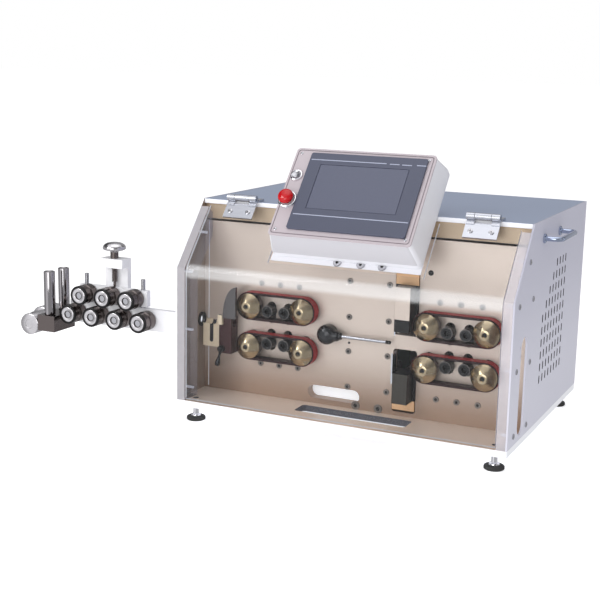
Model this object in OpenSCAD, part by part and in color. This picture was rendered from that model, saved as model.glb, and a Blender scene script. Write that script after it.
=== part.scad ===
// Bench machine that feeds, cuts and strips wire: a sheet metal housing with a clear hinged
// front cover, a tilted touchscreen pod, two pairs of feed belts, a pair of cutting blades
// and a wire straightener on an arm at the left.
// Lengths are in millimetres. X runs to the right, Y to the back and Z up.

/* [Housing] */
// Width across the side panels
body_w = 590; // [560:5:640]
// Depth from the front edge to the back
body_d = 456; // [430:2:520]
// Height of the housing above the underside of the base plate
body_h = 352; // [344:1:372]
// Distance that the top front edge stands back from the front
nose_setback = 92; // [88:1:95]
// Height of the knee where the front begins to slope
knee_h = 243; // [238:1:250]
// Thickness of the side panels
panel_t = 3; // [2:0.5:4]
// Thickness of the base plate
base_t = 11; // [9:1:13]
// Thickness of the top and rear sheets
sheet_t = 3; // [2:0.5:4]
// Height of the lip folded down at the front of the top panel
lip_h = 8; // [6:1:10]
// Length of the slot that drops offcuts through the base plate
chute_l = 200; // [160:5:205]
// Width of the offcut slot
chute_w = 38; // [30:1:40]

/* [Vents] */
// Spacing of the vent slots along a row
vent_pitch_y = 20; // [18:1:21]
// Spacing of the vent rows
vent_pitch_z = 20.6; // [19:0.2:21]
// Width of a vent slot
vent_w = 6; // [4:0.5:7]
// Height of a vent slot
vent_h = 14; // [10:1:15]

/* [Feet and handles] */
// Height of the levelling feet below the base plate
foot_h = 28; // [24:1:34]
// Radius of the foot pads
foot_r = 16.5; // [14:0.5:20]
// Inset of the feet from the edges of the base plate
foot_inset = 26; // [22:1:32]
// Distance between the posts of a carry handle
handle_span = 103; // [90:1:120]
// Distance that a handle stands out from its panel
handle_out = 28; // [24:1:34]
// Radius of the handle bar
handle_r = 4; // [3:0.5:5]

/* [Mechanism plate] */
// Distance of the plate's front face from the front of the housing
plate_y = 96; // [94:1:100]
// Thickness of the mechanism plate
plate_t = 20; // [16:1:24]
// Height of the plate's top edge
plate_top = 314; // [308:1:318]
// Height of the wire line
wire_z = 138; // [134:1:142]

/* [Feed units] */
// Centre of the left feed unit from the left side
left_unit_x = 152; // [148:1:156]
// Centre of the right feed unit from the right side
right_unit_inset = 114; // [110:1:118]
// Distance between the two pulley shafts of a unit
shaft_pitch = 101; // [98:1:104]
// Radius of the belt pulleys
pulley_r = 19.5; // [18:0.5:20.5]
// Thickness of the feed belts
belt_t = 4.7; // [4:0.1:5.5]
// Width of the feed belts
belt_w = 18; // [15:1:20]
// Open gap between the upper and the lower belt
belt_gap = 22; // [20:1:24]
// Distance that a belt carrier closes
carrier_travel = 9; // [6:0.5:9.5]
// Radius of the pulley shafts
shaft_r = 6; // [5:0.5:7]
// Height of the cone nuts
cone_h = 12; // [10:1:14]
// Radius of the cone nuts, a little over the pulleys to keep the belts on
cone_r = 20.7; // [18:0.1:21]

/* [Cutting tools] */
// Middle of the tool slides from the right side
tool_inset = 206; // [202:1:210]
// Width of the slots that the tool slides run in
tool_slot_w = 42; // [40:1:44]
// Length of those slots
tool_slot_l = 108; // [100:1:112]
// Gap between the open blade tips and the wire line
blade_open = 15; // [12:1:18]
// Width of a blade
blade_w = 18; // [14:1:18]
// Thickness of a blade
blade_t = 2.5; // [2:0.25:3]

/* [Touchscreen pod] */
// Distance that the pod sits to the right of the housing's middle
pod_shift = 6; // [0:1:12]
// Width of the pod's face
pod_w = 246; // [236:1:256]
// Height of the pod's face along the slope
pod_h = 173; // [166:1:178]
// Lower edge of the pod's face, up the slope from the knee
pod_u = 49; // [46:1:54]
// Height of the pod's face above the slope
pod_front = 55; // [50:1:58]
// Width of the pod's face left free beside the touchscreen
face_free_w = 42; // [40:1:46]
// Height of the pod's face left free above and below the touchscreen
face_free_h = 23; // [20:1:28]

/* [Cover] */
// Thickness of the clear cover sheet
cover_t = 5; // [4:0.5:6]
// Outer radius of the bend in the cover
cover_bend_r = 30; // [20:1:36]
// Width of the clear strips at each side of the cover
strip_w = 15; // [12:1:18]
// Depth of those strips
strip_d = 44; // [36:1:45]
// Width of a cover hinge
hinge_w = 56; // [48:1:64]
// Distance from a hinge's middle to the side of the housing
hinge_inset = 81; // [76:1:88]

/* [Straightener] */
// Middle of the straightener, left of the housing
straight_x = 195.5; // [193:0.5:210]
// Distance between neighbouring rollers of a row
roller_pitch = 51; // [48:0.5:54]
// Radius of the straightening rollers
roller_r = 18; // [16:0.5:18.5]
// Length of the straightening rollers
roller_l = 36; // [30:1:38]
// Height of the roller rows above and below the wire line
roller_rise = 19; // [18.8:0.1:21]
// Height of the arm bar
arm_h = 41; // [38:1:44]
// Thickness of the arm bar
arm_t = 12; // [10:1:14]
// Radius of the adjusting screw
screw_r = 5; // [4:0.5:5]
// Radius of the adjusting knob
knob_r = 21.5; // [18:0.5:24]

/* [Inlet rollers] */
// Radius of the upright inlet rollers
upright_r = 10.5; // [9:0.5:11]
// Length of the upright inlet rollers
upright_l = 76; // [60:1:90]
// Clear gap between the upright rollers
upright_gap = 23; // [18:1:26]
// Radius of the lying inlet rollers
lying_r = 20; // [17:0.5:20.5]
// Length of the lying inlet rollers
lying_l = 46; // [40:1:50]

/* [Hidden] */
$fn = 48;
// Radial clearance of a running shaft
run_fit = 0.05;
// Clearance beside moving pieces
gap = 0.5;
// Clearance between pieces that are screwed together
seat_gap = 0.1;

// Slope of the front, from the vertical
slope = atan2(nose_setback, body_h - knee_h);
slope_l = norm([nose_setback, body_h - knee_h]);

wire_y = plate_y - 3 - belt_w / 2;
belt_y0 = wire_y - belt_w / 2;
belt_r = pulley_r + 0.3;
unit_rise = belt_gap / 2 + belt_t + belt_r;
bolt_half = 16;
bolt_r = 7;
bolt_head_r = 10.5;
bolt_drop = 7;
carrier_clear = 1;
slide_plate_t = 10;
shaft_slot_r = shaft_r + 4;
bolt_slot_r = bolt_r + 1.5;
slot_spare = 6;
shaft_end = cone_h - 5.5;

tool_x = body_w - tool_inset;
tool_back = plate_y + plate_t - 4;
tool_front = plate_y - 2;
blade_travel = blade_open + 2;
tool_slide_l = 68;
holder_front = wire_y - 17;
blade_x = tool_x - tool_slot_w / 2 + 4;
tool_holder_x0 = blade_x + 2 * blade_t + 1;
tool_holder_x1 = unit_x("right") - shaft_pitch / 2 - belt_r - belt_t - 1.5;
lower_holder_gap = 47;
upper_holder_gap = 23;
slot_end_gap = 12;

chute_x = tool_x - 76;
window_rim = 8;
window_x = 256;
window_l = 96;
window_h = 23;
window_z = base_t + 21;

pivot_x = 246;
pivot_r = 14;
pivot_shaft_r = 8;
tube_r = 3;
tube_end = tool_x - tool_slot_w / 2 - 1;

cover_top_u = slope_l - 12;
hinge_u = slope_l + 1;
hinge_v = 8.5;
knuckle_r = 5.5;
hinge_pin_r = 2.5;
leaf_t = 3.5;
leaf_l = 28;
leaf_edge = 8;
cover_x0 = panel_t + strip_w + 1;
cover_z0 = base_t + 3;

pod_x = body_w / 2 + pod_shift;
pod_back = 2;
pod_wall = 3;
pod_flare = 8;
face_t = 3;
bezel_t = 4;
face_rim = 11.5;
screen_w = pod_w - face_free_w;
screen_h = pod_h - face_free_h;
screen_x = pod_x + face_free_w / 2 - face_rim;
screen_u = pod_u + pod_h / 2 + 1;
display_w = screen_w - 50;
display_h = screen_h - 64;
display_rise = 9;
switch_x = pod_x - pod_w / 2 + 15;
estop_u = pod_u + 68;
start_u = pod_u + 117;
stem_r = 7;
collar_t = 2;
pod_reach = norm([hinge_u - pod_u + pod_flare, pod_front - hinge_v]);
notch_u = hinge_u - pod_reach - 3;

arm_y = belt_y0 - 15 + roller_l + 4;
arm_z = wire_z - roller_rise;
arm_flange_t = 8;
holder_x1 = -straight_x - 1.5 * roller_pitch - roller_r - 2;
holder_w = 38;
holder_top = wire_z - 23;
holder_h = 30;
roller_pin_r = 6;
slide_t = arm_t - gap;
slide_z0 = arm_z + arm_h / 2 + 2.5;
slide_h = 30;
guide_half = 1.22 * roller_pitch;
guide_r = 4;
bracket_w = 49;
bracket_t = 12;
bracket_top = wire_z + 88;
bracket_cap_h = 17;
knob_z = bracket_top + 15;
knob_h = 15;
ring_r = screw_r + 0.9;

upright_x = holder_x1 - holder_w / 2;
upright_y = upright_gap / 2 + upright_r;
upright_pin_r = 4;
lying_pin_r = 6;
front_lying_x = holder_x1 - holder_w - 2 - lying_r;
rear_lying_x = front_lying_x - 20;
lying_z = holder_top - lying_r - 1;
lug_y = arm_y;
lug_t = 13;

inlet_hole_r = 13;
throat_r = 7;
guide_x0 = panel_t + 6;
guide_w = 36;
column_w = 24;
guide_front = wire_y - 5;
column_front = wire_y - 12;
lever_x = guide_x0 + guide_w + 6;
lever_z = wire_z - 46;
lever_l = 27;
lever_pin_r = 3;
cap_room = 6;
vent_rows = 10;
vent_cols = 8;
vent_y0 = 176;
vent_z0 = 84;
outlet_w = 34;
outlet_top = wire_z + 40;
outlet_z0 = base_t + 8;
outlet_y = plate_y - 10 - outlet_w / 2;
tap_r = 2.1;
tap_y = outlet_y - outlet_w / 2 - 4;
tap_pitch = 14;
tap_z = wire_z + 20;
stud_r = 5;
handle_y = 206;
handle_z = body_h - 30;
motor_gap = 46;
feed_motor_w = 86;
feed_motor_l = 80;
tool_motor_w = 57;
electronics_inset = 60;
electronics_gap = 40;
electronics_room = 150;
supply_h = 50;
board_t = 2;
post_h = 13;
post_inset = 10;
socket_w = 28;
socket_h = 20;
socket_x = 110;
socket_z = base_t + 60;
socket_flange = 4;

// Extents that centre the machine on its origin
x_lo = rear_lying_x - lying_r;
x_hi = body_w + handle_out + handle_r;
y_lo = pod_u * sin(slope) - pod_front * cos(slope);
y_hi = body_d + socket_flange;

SIDES = ["left", "right"];
LEVELS = ["upper", "lower"];
ENDS = ["outer", "inner"];

function unit_x(side) = side == "left" ? left_unit_x : body_w - right_unit_inset;
function up(level) = level == "upper" ? 1 : -1;
function unit_z(level) = wire_z + up(level) * unit_rise;
function outward(side) = side == "left" ? -1 : 1;
function end_x(side, end) =
    unit_x(side) + outward(side) * (end == "outer" ? 1 : -1) * shaft_pitch / 2;
function vent_start(row) = max(0, row - (vent_rows - vent_cols / 2 - 1));
// Point in the YZ plane, u up the slope from the knee and v out from it
function slant(u, v) = [u * sin(slope) - v * cos(slope), knee_h + u * cos(slope) + v * sin(slope)];

// Distance up the slope of a point at height z and v out from the slope
function slope_u(z, v) = (z - knee_h - v * sin(slope)) / cos(slope);

// Moves the whole machine to the middle of its footprint, standing on its feet
module in_frame() translate([-(x_lo + x_hi) / 2, -(y_lo + y_hi) / 2, foot_h]) children();

// Extrudes a YZ outline along X from x0
module along_x(x0, l) translate([x0, 0, 0]) rotate([90, 0, 90]) linear_extrude(l) children();

// Extrudes an XZ outline along Y from y0
module along_y(y0, l) translate([0, y0 + l, 0]) rotate([90, 0, 0]) linear_extrude(l) children();

// Cylinder along Y from y0
module rod_y(x, z, y0, l, r) translate([x, y0, z]) rotate([-90, 0, 0]) cylinder(h = l, r = r);

// Frame on the slope: X across, Y up the slope, Z out from it
module on_slope() translate([0, 0, knee_h]) rotate([90 - slope, 0, 0]) children();

// Outline frame in the YZ plane: X up the slope from the knee, Y out from it
module up_slope() translate([0, knee_h]) rotate(90 - slope) children();

module rounded(w, h, r) {
    square([w - 2 * r, h], center = true);
    square([w, h - 2 * r], center = true);
    for (x = [-1, 1], y = [-1, 1]) translate([x * (w / 2 - r), y * (h / 2 - r)]) circle(r);
}

// Round-ended slot that stands upright from z0 to z1
module upright_slot(x, z0, z1, r) {
    translate([x - r, z0 + r]) square([2 * r, z1 - z0 - 2 * r]);
    for (z = [z0 + r, z1 - r]) translate([x, z]) circle(r);
}

// Outline of the housing seen from the side
module side_profile() {
    polygon([[0, base_t], [0, knee_h], [nose_setback, body_h], [body_d, body_h], [body_d, base_t]]);
}

module side_vents() {
    for (row = [0:vent_rows - 1], col = [vent_start(row):vent_cols - 1]) {
        z = vent_z0 + row * vent_pitch_z - vent_h / 2;
        upright_slot(vent_y0 + col * vent_pitch_y, z, z + vent_h, vent_w / 2);
    }
}

module base_plate() {
    color("gainsboro") translate([window_x - window_l / 2 - window_rim, plate_y + plate_t + gap, base_t - 1])
        cube([window_l + 2 * window_rim, sheet_t, window_z + window_h / 2 + window_rim - base_t + 1]);
    color("gainsboro") difference() {
        translate([body_w / 2, body_d / 2, 0]) linear_extrude(base_t) rounded(body_w, body_d, 3);
        translate([chute_x, plate_y - 18 - chute_w / 2, -1])
            linear_extrude(base_t + 2) rounded(chute_l, chute_w, 6);
        foot_places() translate([0, 0, -1]) cylinder(h = base_t + 2, r = stud_r + run_fit);
    }
}

module foot_places() {
    for (x = [foot_inset, body_w - foot_inset], y = [foot_inset, body_d - foot_inset])
        translate([x, y, 0]) children();
}

module left_side_panel() {
    color("lavender") along_x(0, panel_t) difference() {
        side_profile();
        side_vents();
        translate([wire_y, wire_z]) circle(inlet_hole_r);
    }
}

module right_side_panel() {
    color("lavender") along_x(body_w - panel_t, panel_t) difference() {
        side_profile();
        side_vents();
        upright_slot(outlet_y, outlet_z0, outlet_top, outlet_w / 2);
        for (z = [-1, 1]) translate([tap_y, tap_z + z * tap_pitch / 2]) circle(tap_r);
    }
}

module top_panel() {
    band_y = plate_y + 2;
    color("slategray") along_x(panel_t, body_w - 2 * panel_t) {
        translate([nose_setback, body_h - sheet_t]) square([body_d - nose_setback, sheet_t]);
        translate([nose_setback, body_h - lip_h]) square([sheet_t, lip_h]);
        translate([band_y, plate_top + 3]) square([sheet_t, body_h - plate_top - 3]);
    }
}

module rear_panel() {
    color("lavender") along_y(body_d - sheet_t, sheet_t) difference() {
        translate([panel_t, base_t]) square([body_w - 2 * panel_t, body_h - sheet_t - base_t]);
        translate([socket_x, socket_z]) square([socket_w + 1, socket_h + 1], center = true);
        for (row = [0:2], col = [0:vent_cols]) {
            z = wire_z + 40 + row * vent_pitch_z;
            upright_slot(body_w / 2 + (col - vent_cols / 2) * vent_pitch_y, z, z + vent_h, vent_w / 2);
        }
    }
}

module unit_slots(side, level) {
    z = unit_z(level);
    d = up(level);
    for (end = ENDS) unit_slot(end_x(side, end), z, d, shaft_slot_r, 0);
    for (s = [-1, 1]) unit_slot(unit_x(side) + s * bolt_half, z, d, bolt_slot_r, bolt_drop);
}

// Slot that lets a shaft close on the wire by the carrier's travel
module unit_slot(x, z, d, r, drop) {
    a = z + d * (r + slot_spare) - d * drop;
    b = z - d * (carrier_travel + r + slot_spare) - d * drop;
    upright_slot(x, min(a, b), max(a, b), r);
}

module tool_slot(d) {
    translate([tool_x, wire_z + d * (slot_end_gap + tool_slot_l / 2)])
        rounded(tool_slot_w, tool_slot_l, 5);
}

module mechanism_plate() {
    color("tan") along_y(plate_y, plate_t) difference() {
        translate([panel_t, base_t]) square([body_w - 2 * panel_t, plate_top - base_t]);
        for (side = SIDES, level = LEVELS) unit_slots(side, level);
        for (d = [-1, 1]) tool_slot(d);
        translate([window_x, window_z]) rounded(window_l, window_h, window_h / 2 - 0.1);
        translate([pivot_x, wire_z]) circle(pivot_shaft_r + run_fit);
    }
}

// Outline of a band of depth d inside the sloping front
module front_band(d) {
    inner = d * tan(slope / 2);
    polygon([[0, base_t], [0, knee_h], slant(slope_l - 16, 0), slant(slope_l - 16, -d),
        [d, knee_h - inner], [d, base_t]]);
}

module cover_side_strips() {
    color("azure", 0.5) for (x = [panel_t, body_w - panel_t - strip_w])
        along_x(x, strip_w) intersection() {
            front_band(strip_d);
            square([plate_y - gap, body_h]);
        }
}

module carry_handles() {
    color("silver") for (side = SIDES) {
        d = outward(side);
        x = side == "left" ? 0 : body_w;
        for (s = [-1, 1]) translate([x, handle_y + s * handle_span / 2, handle_z]) rotate([0, d * 90, 0]) {
            cylinder(h = handle_out + handle_r, r = handle_r);
            cylinder(h = 4, r = 2 * handle_r);
        }
        rod_y(x + d * handle_out, handle_z, handle_y - handle_span / 2, handle_span, handle_r);
    }
}

module levelling_feet() {
    pad_h = 8;
    nut_h = 6;
    color("black") foot_places() translate([0, 0, -foot_h]) {
        rotate_extrude() polygon([[0, 0], [foot_r, 0], [foot_r, pad_h - 3], [foot_r - 4, pad_h], [0, pad_h]]);
        cylinder(h = foot_h + base_t - 2, r = stud_r);
        translate([0, 0, foot_h - nut_h]) cylinder(h = nut_h, r = 2 * stud_r, $fn = 6);
    }
}

module power_inlet() {
    color("black") translate([socket_x, body_d, socket_z]) rotate([90, 0, 0]) difference() {
        union() {
            translate([0, 0, -socket_flange]) linear_extrude(socket_flange)
                rounded(socket_w + 20, socket_h + 10, 4);
            linear_extrude(24) rounded(socket_w, socket_h, 3);
        }
        translate([0, 0, -socket_flange - 1]) linear_extrude(19) rounded(socket_w - 5, socket_h - 5, 2);
        for (s = [-1, 1])
            translate([s * (socket_w / 2 + 5), 0, -socket_flange - 1]) cylinder(h = 8, r = 1.6);
    }
}

// Stepper motor standing on the base plate with its shaft forward
module stepper(x, y, frame_w, l) {
    z = base_t + frame_w / 2;
    along_y(y, l) translate([x, z]) rounded(frame_w, frame_w, 5);
    rod_y(x, z, y - 20, 21, 6);
    rod_y(x, z, y - 17, 12, 14);
}

module drive_motors() {
    motor_y = plate_y + plate_t + motor_gap;
    color("dimgray") {
        for (side = SIDES) stepper(unit_x(side), motor_y, feed_motor_w, feed_motor_l);
        stepper(tool_x - feed_motor_w, motor_y, tool_motor_w, feed_motor_l);
    }
}

module control_electronics() {
    y0 = body_d - electronics_room;
    case_w = (body_w - 2 * electronics_inset - electronics_gap) / 2;
    case_d = electronics_room - 3 * post_inset;
    board_x = body_w - electronics_inset - case_w;
    color("silver") translate([electronics_inset, y0, base_t]) cube([case_w, case_d, supply_h]);
    color("darkgreen") {
        translate([board_x, y0, base_t + post_h - 1]) cube([case_w, case_d, board_t]);
        for (x = [post_inset, case_w - post_inset], y = [post_inset, case_d - post_inset])
            translate([board_x + x, y0 + y, base_t]) cylinder(h = post_h, r = post_inset / 3);
    }
}

module hinge_places() {
    for (x = [hinge_inset, body_w - hinge_inset]) translate([x, 0, 0]) children();
}

// Rod along X about the hinge line
module hinge_rod(x, l, r) {
    p = slant(hinge_u, hinge_v);
    translate([x - l / 2, p[0], p[1]]) rotate([0, 90, 0]) cylinder(h = l, r = r);
}

module cover_hinge_bases() {
    p = slant(hinge_u, hinge_v);
    foot_y0 = p[0] + knuckle_r + 1.5;
    knuckle_l = hinge_w / 2 - 1;
    color("silver") hinge_places() {
        translate([-hinge_w / 2, foot_y0, body_h]) cube([hinge_w, 20, 4]);
        translate([-knuckle_l / 2, p[0], body_h]) cube([knuckle_l, foot_y0 - p[0] + 2, p[1] - body_h + 3]);
        hinge_rod(0, knuckle_l, knuckle_r);
        hinge_rod(0, hinge_w - 4, hinge_pin_r);
    }
}

// Knuckle about the hinge line with the arm that joins it to the leaf, seen from the side
module knuckle_profile() {
    arm_u = slope_l - leaf_edge - leaf_t;
    arm_v = 0.6;
    arm_top = hinge_v - hinge_pin_r - 1;
    difference() {
        union() {
            translate([arm_u, arm_v]) square([hinge_u - 1 - arm_u, arm_top - arm_v]);
            translate([hinge_u, hinge_v]) circle(knuckle_r);
        }
        translate([hinge_u, hinge_v]) circle(hinge_pin_r + run_fit);
    }
}

module cover_hinge_leaves() {
    knuckle_l = hinge_w / 4 - 0.5;
    color("silver") hinge_places() {
        along_x(-hinge_w / 2, hinge_w) up_slope() translate([slope_l - leaf_edge - leaf_l, 0])
            square([leaf_l, leaf_t]);
        for (x = [-hinge_w / 2 + 0.5, hinge_w / 2 - 0.5 - knuckle_l])
            along_x(x, knuckle_l) up_slope() knuckle_profile();
    }
}

module cover_sheet() {
    tangent = cover_bend_r * tan(slope / 2);
    notch_w = pod_w + 2 * pod_flare + 10;
    color("azure", 0.3) difference() {
        along_x(cover_x0, body_w - 2 * cover_x0) {
            translate([0, cover_z0]) square([cover_t, knee_h - tangent - cover_z0]);
            up_slope() translate([tangent, -cover_t]) square([cover_top_u - tangent, cover_t]);
            translate([cover_bend_r, knee_h - tangent]) intersection() {
                difference() {
                    circle(cover_bend_r, $fn = 96);
                    circle(cover_bend_r - cover_t, $fn = 96);
                }
                polygon([[0, 0], [-2 * cover_bend_r, 0],
                    2 * cover_bend_r * [-1, tan(slope)], 2 * cover_bend_r * [-cos(slope), sin(slope)]]);
            }
        }
        on_slope() translate([pod_x - notch_w / 2, notch_u, -cover_t - 1])
            cube([notch_w, slope_l, cover_t + 2]);
    }
}

// Tapered shell from the wide back to the face, closed at the back
module pod_housing() {
    lip_t = 10;
    depth = pod_front - face_t - pod_back;
    taper = [pod_w / (pod_w + 2 * pod_flare), pod_h / (pod_h + 2 * pod_flare)];
    color("white") on_slope() translate([pod_x, pod_u + pod_h / 2, pod_back]) difference() {
        union() {
            linear_extrude(lip_t) rounded(pod_w + 2 * pod_flare, pod_h + 2 * pod_flare, 10);
            translate([0, 0, lip_t]) linear_extrude(depth - lip_t, scale = taper, slices = 1)
                rounded(pod_w + 2 * pod_flare, pod_h + 2 * pod_flare, 10);
        }
        translate([0, 0, pod_wall]) linear_extrude(depth)
            rounded(pod_w - 2 * pod_wall, pod_h - 2 * pod_wall, 5);
    }
}

// Folded wedge that holds the pod on the top panel
module pod_bracket() {
    high = slant(pod_u + pod_h - 12, pod_back);
    low = slant(slope_l + 6, pod_back);
    rear = high[0] + 8;
    wedge_w = 150;
    inner_v = pod_back - sheet_t;
    inner_top = high[1] - sheet_t;
    floor_z = body_h - 1;
    color("white") difference() {
        along_x(pod_x - wedge_w / 2, wedge_w)
            polygon([[low[0], body_h], low, high, [rear, high[1]], [rear, body_h]]);
        along_x(pod_x - wedge_w / 2 + sheet_t, wedge_w - 2 * sheet_t)
            polygon([slant(slope_u(floor_z, inner_v), inner_v), slant(slope_u(inner_top, inner_v), inner_v),
                [rear - sheet_t, inner_top], [rear - sheet_t, floor_z]]);
    }
}

module pod_face() {
    color("thistle") on_slope() {
        translate([0, 0, pod_front - face_t]) linear_extrude(face_t) difference() {
            translate([pod_x, pod_u + pod_h / 2]) rounded(pod_w, pod_h, 6);
            translate([screen_x, screen_u]) square([screen_w - 10, screen_h - 10], center = true);
            for (u = [estop_u, start_u]) translate([switch_x, u]) circle(stem_r + gap);
        }
        for (u = [estop_u, start_u]) translate([switch_x, u, pod_front]) difference() {
            cylinder(h = collar_t, r = stem_r + 4);
            translate([0, 0, -1]) cylinder(h = collar_t + 2, r = stem_r + gap);
        }
    }
}

module touchscreen() {
    body_t = 36;
    glass_t = 1.2;
    recess = glass_t + 0.4;
    on_slope() translate([screen_x, screen_u, pod_front]) {
        color("slategray") difference() {
            union() {
                linear_extrude(bezel_t) rounded(screen_w, screen_h, 4);
                translate([0, 0, -body_t]) linear_extrude(body_t + 1)
                    rounded(screen_w - 12, screen_h - 12, 2);
            }
            translate([-2, display_rise, bezel_t - recess])
                linear_extrude(bezel_t) square([display_w + 1, display_h + 1], center = true);
        }
        color("lightsteelblue") translate([-2, display_rise, bezel_t - recess + seat_gap])
            linear_extrude(glass_t) square([display_w, display_h], center = true);
    }
}

// Red mushroom button on its stem
module estop_button() {
    head_r = 13;
    color("red") on_slope() translate([switch_x, estop_u, pod_front]) rotate_extrude() polygon([
        [0, -10], [stem_r, -10], [stem_r, collar_t + 6], [head_r, collar_t + 7], [head_r, collar_t + 11],
        [head_r - 3, collar_t + 15], [head_r - 8, collar_t + 17], [0, collar_t + 17.5]]);
}

module start_switch() {
    color("silver") on_slope() translate([switch_x, start_u, pod_front]) rotate_extrude() polygon([
        [0, -10], [stem_r, -10], [stem_r, collar_t + 3], [stem_r - 1, collar_t + 4], [0, collar_t + 4]]);
}

// Slotted inlet block, the column behind it and the guard over the mouth of the belts
module inlet_guide() {
    block_h = 46;
    column_h = 64;
    stop_t = 6;
    stop_w = 8.5;
    guard_h = 56;
    guard_w = 25;
    guard_y0 = column_front - 4;
    guard_x1 = end_x("left", "outer") - cone_r - 2;
    column_x0 = guide_x0 + guide_w + seat_gap;
    column_z = wire_z + 10;
    guard_z = column_z + seat_gap;
    color("wheat") difference() {
        translate([guide_x0, guide_front, wire_z - block_h]) cube([guide_w, plate_y - guide_front, block_h]);
        along_y(guide_front - 1, plate_y - guide_front + 2)
            upright_slot(guide_x0 + 17, wire_z - block_h + 8, wire_z + 20, 3.5);
        translate([guide_x0 - 1, wire_y, wire_z]) rotate([0, 90, 0]) cylinder(h = guide_w + 2, r = throat_r);
    }
    color("wheat") translate([column_x0, column_front - seat_gap - stop_t, wire_z - 2])
        cube([stop_w, stop_t, 2 * stop_w]);
    color("maroon") difference() {
        translate([column_x0, column_front, column_z - column_h])
            cube([column_w, plate_y - column_front, column_h]);
        translate([column_x0 - 1, wire_y, wire_z]) {
            rotate([0, 90, 0]) cylinder(h = column_w + 2, r = throat_r);
            translate([0, -throat_r, 0]) cube([column_w + 2, 2 * throat_r, column_h]);
        }
        rod_y(lever_x, lever_z, column_front - 1, 16, lever_pin_r + run_fit);
    }
    color("dimgray") along_y(guard_y0, belt_y0 - gap - guard_y0) polygon(concat([[guard_x1, guard_z]],
        [for (a = [0:10:90]) [guard_x1 - guard_w * cos(a), guard_z + guard_h * sin(a)]]));
}

module clamp_lever() {
    hub_r = 6;
    hub_t = 7;
    y0 = column_front - gap - hub_t;
    color("black") {
        rod_y(lever_x, lever_z, y0, hub_t, hub_r);
        rod_y(lever_x, lever_z, y0 + 1, hub_t + 12, lever_pin_r);
        translate([lever_x, y0 + hub_t / 2, lever_z]) rotate([0, 194, 0]) {
            cylinder(h = lever_l, r = 2.5);
            translate([0, 0, lever_l]) sphere(5);
        }
    }
}

// Slide in the plate with the tool holder screwed to its front
module tool_slide(level) {
    d = up(level);
    clear = 1;
    holder_gap = level == "upper" ? upper_holder_gap : lower_holder_gap;
    far = slot_end_gap + tool_slot_l - 4;
    near = far - tool_slide_l;
    holder_far = far - 18;
    color("goldenrod") translate([tool_x - tool_slot_w / 2 + clear, tool_front,
        wire_z + min(d * near, d * far)])
        cube([tool_slot_w - 2 * clear, tool_back - tool_front, tool_slide_l]);
    color("dimgray") translate([tool_holder_x0, holder_front,
        wire_z + min(d * holder_gap, d * holder_far)])
        cube([tool_holder_x1 - tool_holder_x0, tool_front - seat_gap - holder_front,
            holder_far - holder_gap]);
}

module upper_tool_slide() tool_slide("upper");
module lower_tool_slide() tool_slide("lower");

// Thin blade with a notched tip, flat against the side of its holder
module blade(level) {
    d = up(level);
    x = blade_x + (level == "upper" ? blade_t + 1 : 0.5);
    seat = tool_holder_x0 - x - blade_t;
    l = 52;
    w = blade_w / 2;
    color("lightgray") translate([0, wire_y, wire_z]) {
        along_x(x, blade_t) polygon([
            [-w, d * blade_open], [-w, d * (blade_open + l)], [w, d * (blade_open + l)],
            [w, d * blade_open], [0, d * (blade_open + 8)]]);
        if (seat > 0.1) along_x(x + blade_t, seat)
            polygon([[-w, d * (blade_open + l - 16)], [-w, d * (blade_open + l)],
                [w, d * (blade_open + l)], [w, d * (blade_open + l - 16)]]);
    }
}

module upper_blade() blade("upper");
module lower_blade() blade("lower");

// Swinging tube that guides the wire to the blades
module guide_tube() {
    bore_r = 2;
    color("black") difference() {
        union() {
            rod_y(pivot_x, wire_z, wire_y - 9, plate_y - gap - wire_y + 9, pivot_r);
            rod_y(pivot_x, wire_z, plate_y - 2, plate_t + 4, pivot_shaft_r);
            translate([pivot_x, wire_y, wire_z]) rotate([0, 90, 0]) {
                cylinder(h = pivot_r + 10, r = 6);
                cylinder(h = tube_end - pivot_x, r = tube_r);
            }
        }
        translate([pivot_x - pivot_r - 1, wire_y, wire_z]) rotate([0, 90, 0])
            cylinder(h = tube_end - pivot_x + pivot_r + 2, r = bore_r);
    }
}

function lower_roller_x(i) = -straight_x + (i - 1.5) * roller_pitch;
function upper_roller_x(i) = -straight_x + (i - 1) * roller_pitch;

// Arm bar with its end flange, the pins of the lower rollers and the guide pins
module straightener_arm() {
    pin_top = slide_z0 + slide_h + 20;
    color("white") {
        translate([holder_x1, arm_y, arm_z - arm_h / 2]) cube([-holder_x1 - arm_flange_t, arm_t, arm_h]);
        translate([-arm_flange_t, arm_y, arm_z - arm_h / 2 - 6]) cube([arm_flange_t, arm_t + 14, arm_h + 12]);
        for (i = [0:3]) rod_y(lower_roller_x(i), arm_z, arm_y - roller_l, roller_l + 1, roller_pin_r);
        for (s = [-1, 1]) translate([-straight_x + s * guide_half, arm_y + arm_t / 2, arm_z])
            cylinder(h = pin_top - arm_z, r = guide_r);
    }
}

// Goose-neck bracket behind the arm with a cap that holds the adjusting screw
module straightener_bracket() {
    y0 = arm_y + arm_t;
    foot_w = bracket_w + 2 * bracket_t;
    z0 = arm_z - arm_h / 2;
    foot_top = arm_z + arm_h / 2;
    color("white") difference() {
        union() {
            along_y(y0, bracket_t) difference() {
                union() {
                    translate([-straight_x - bracket_w / 2, z0]) square([bracket_w, bracket_top - z0]);
                    translate([-straight_x - foot_w / 2, z0]) square([foot_w, foot_top + bracket_t - z0]);
                }
                for (s = [-1, 1])
                    translate([-straight_x + s * foot_w / 2, foot_top + bracket_t]) circle(bracket_t);
            }
            translate([-straight_x - bracket_w / 2, arm_y - 6, bracket_top - bracket_cap_h])
                cube([bracket_w, arm_t + 7, bracket_cap_h]);
        }
        translate([-straight_x, arm_y + slide_t / 2, z0]) cylinder(h = bracket_top, r = screw_r + run_fit);
    }
}

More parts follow.
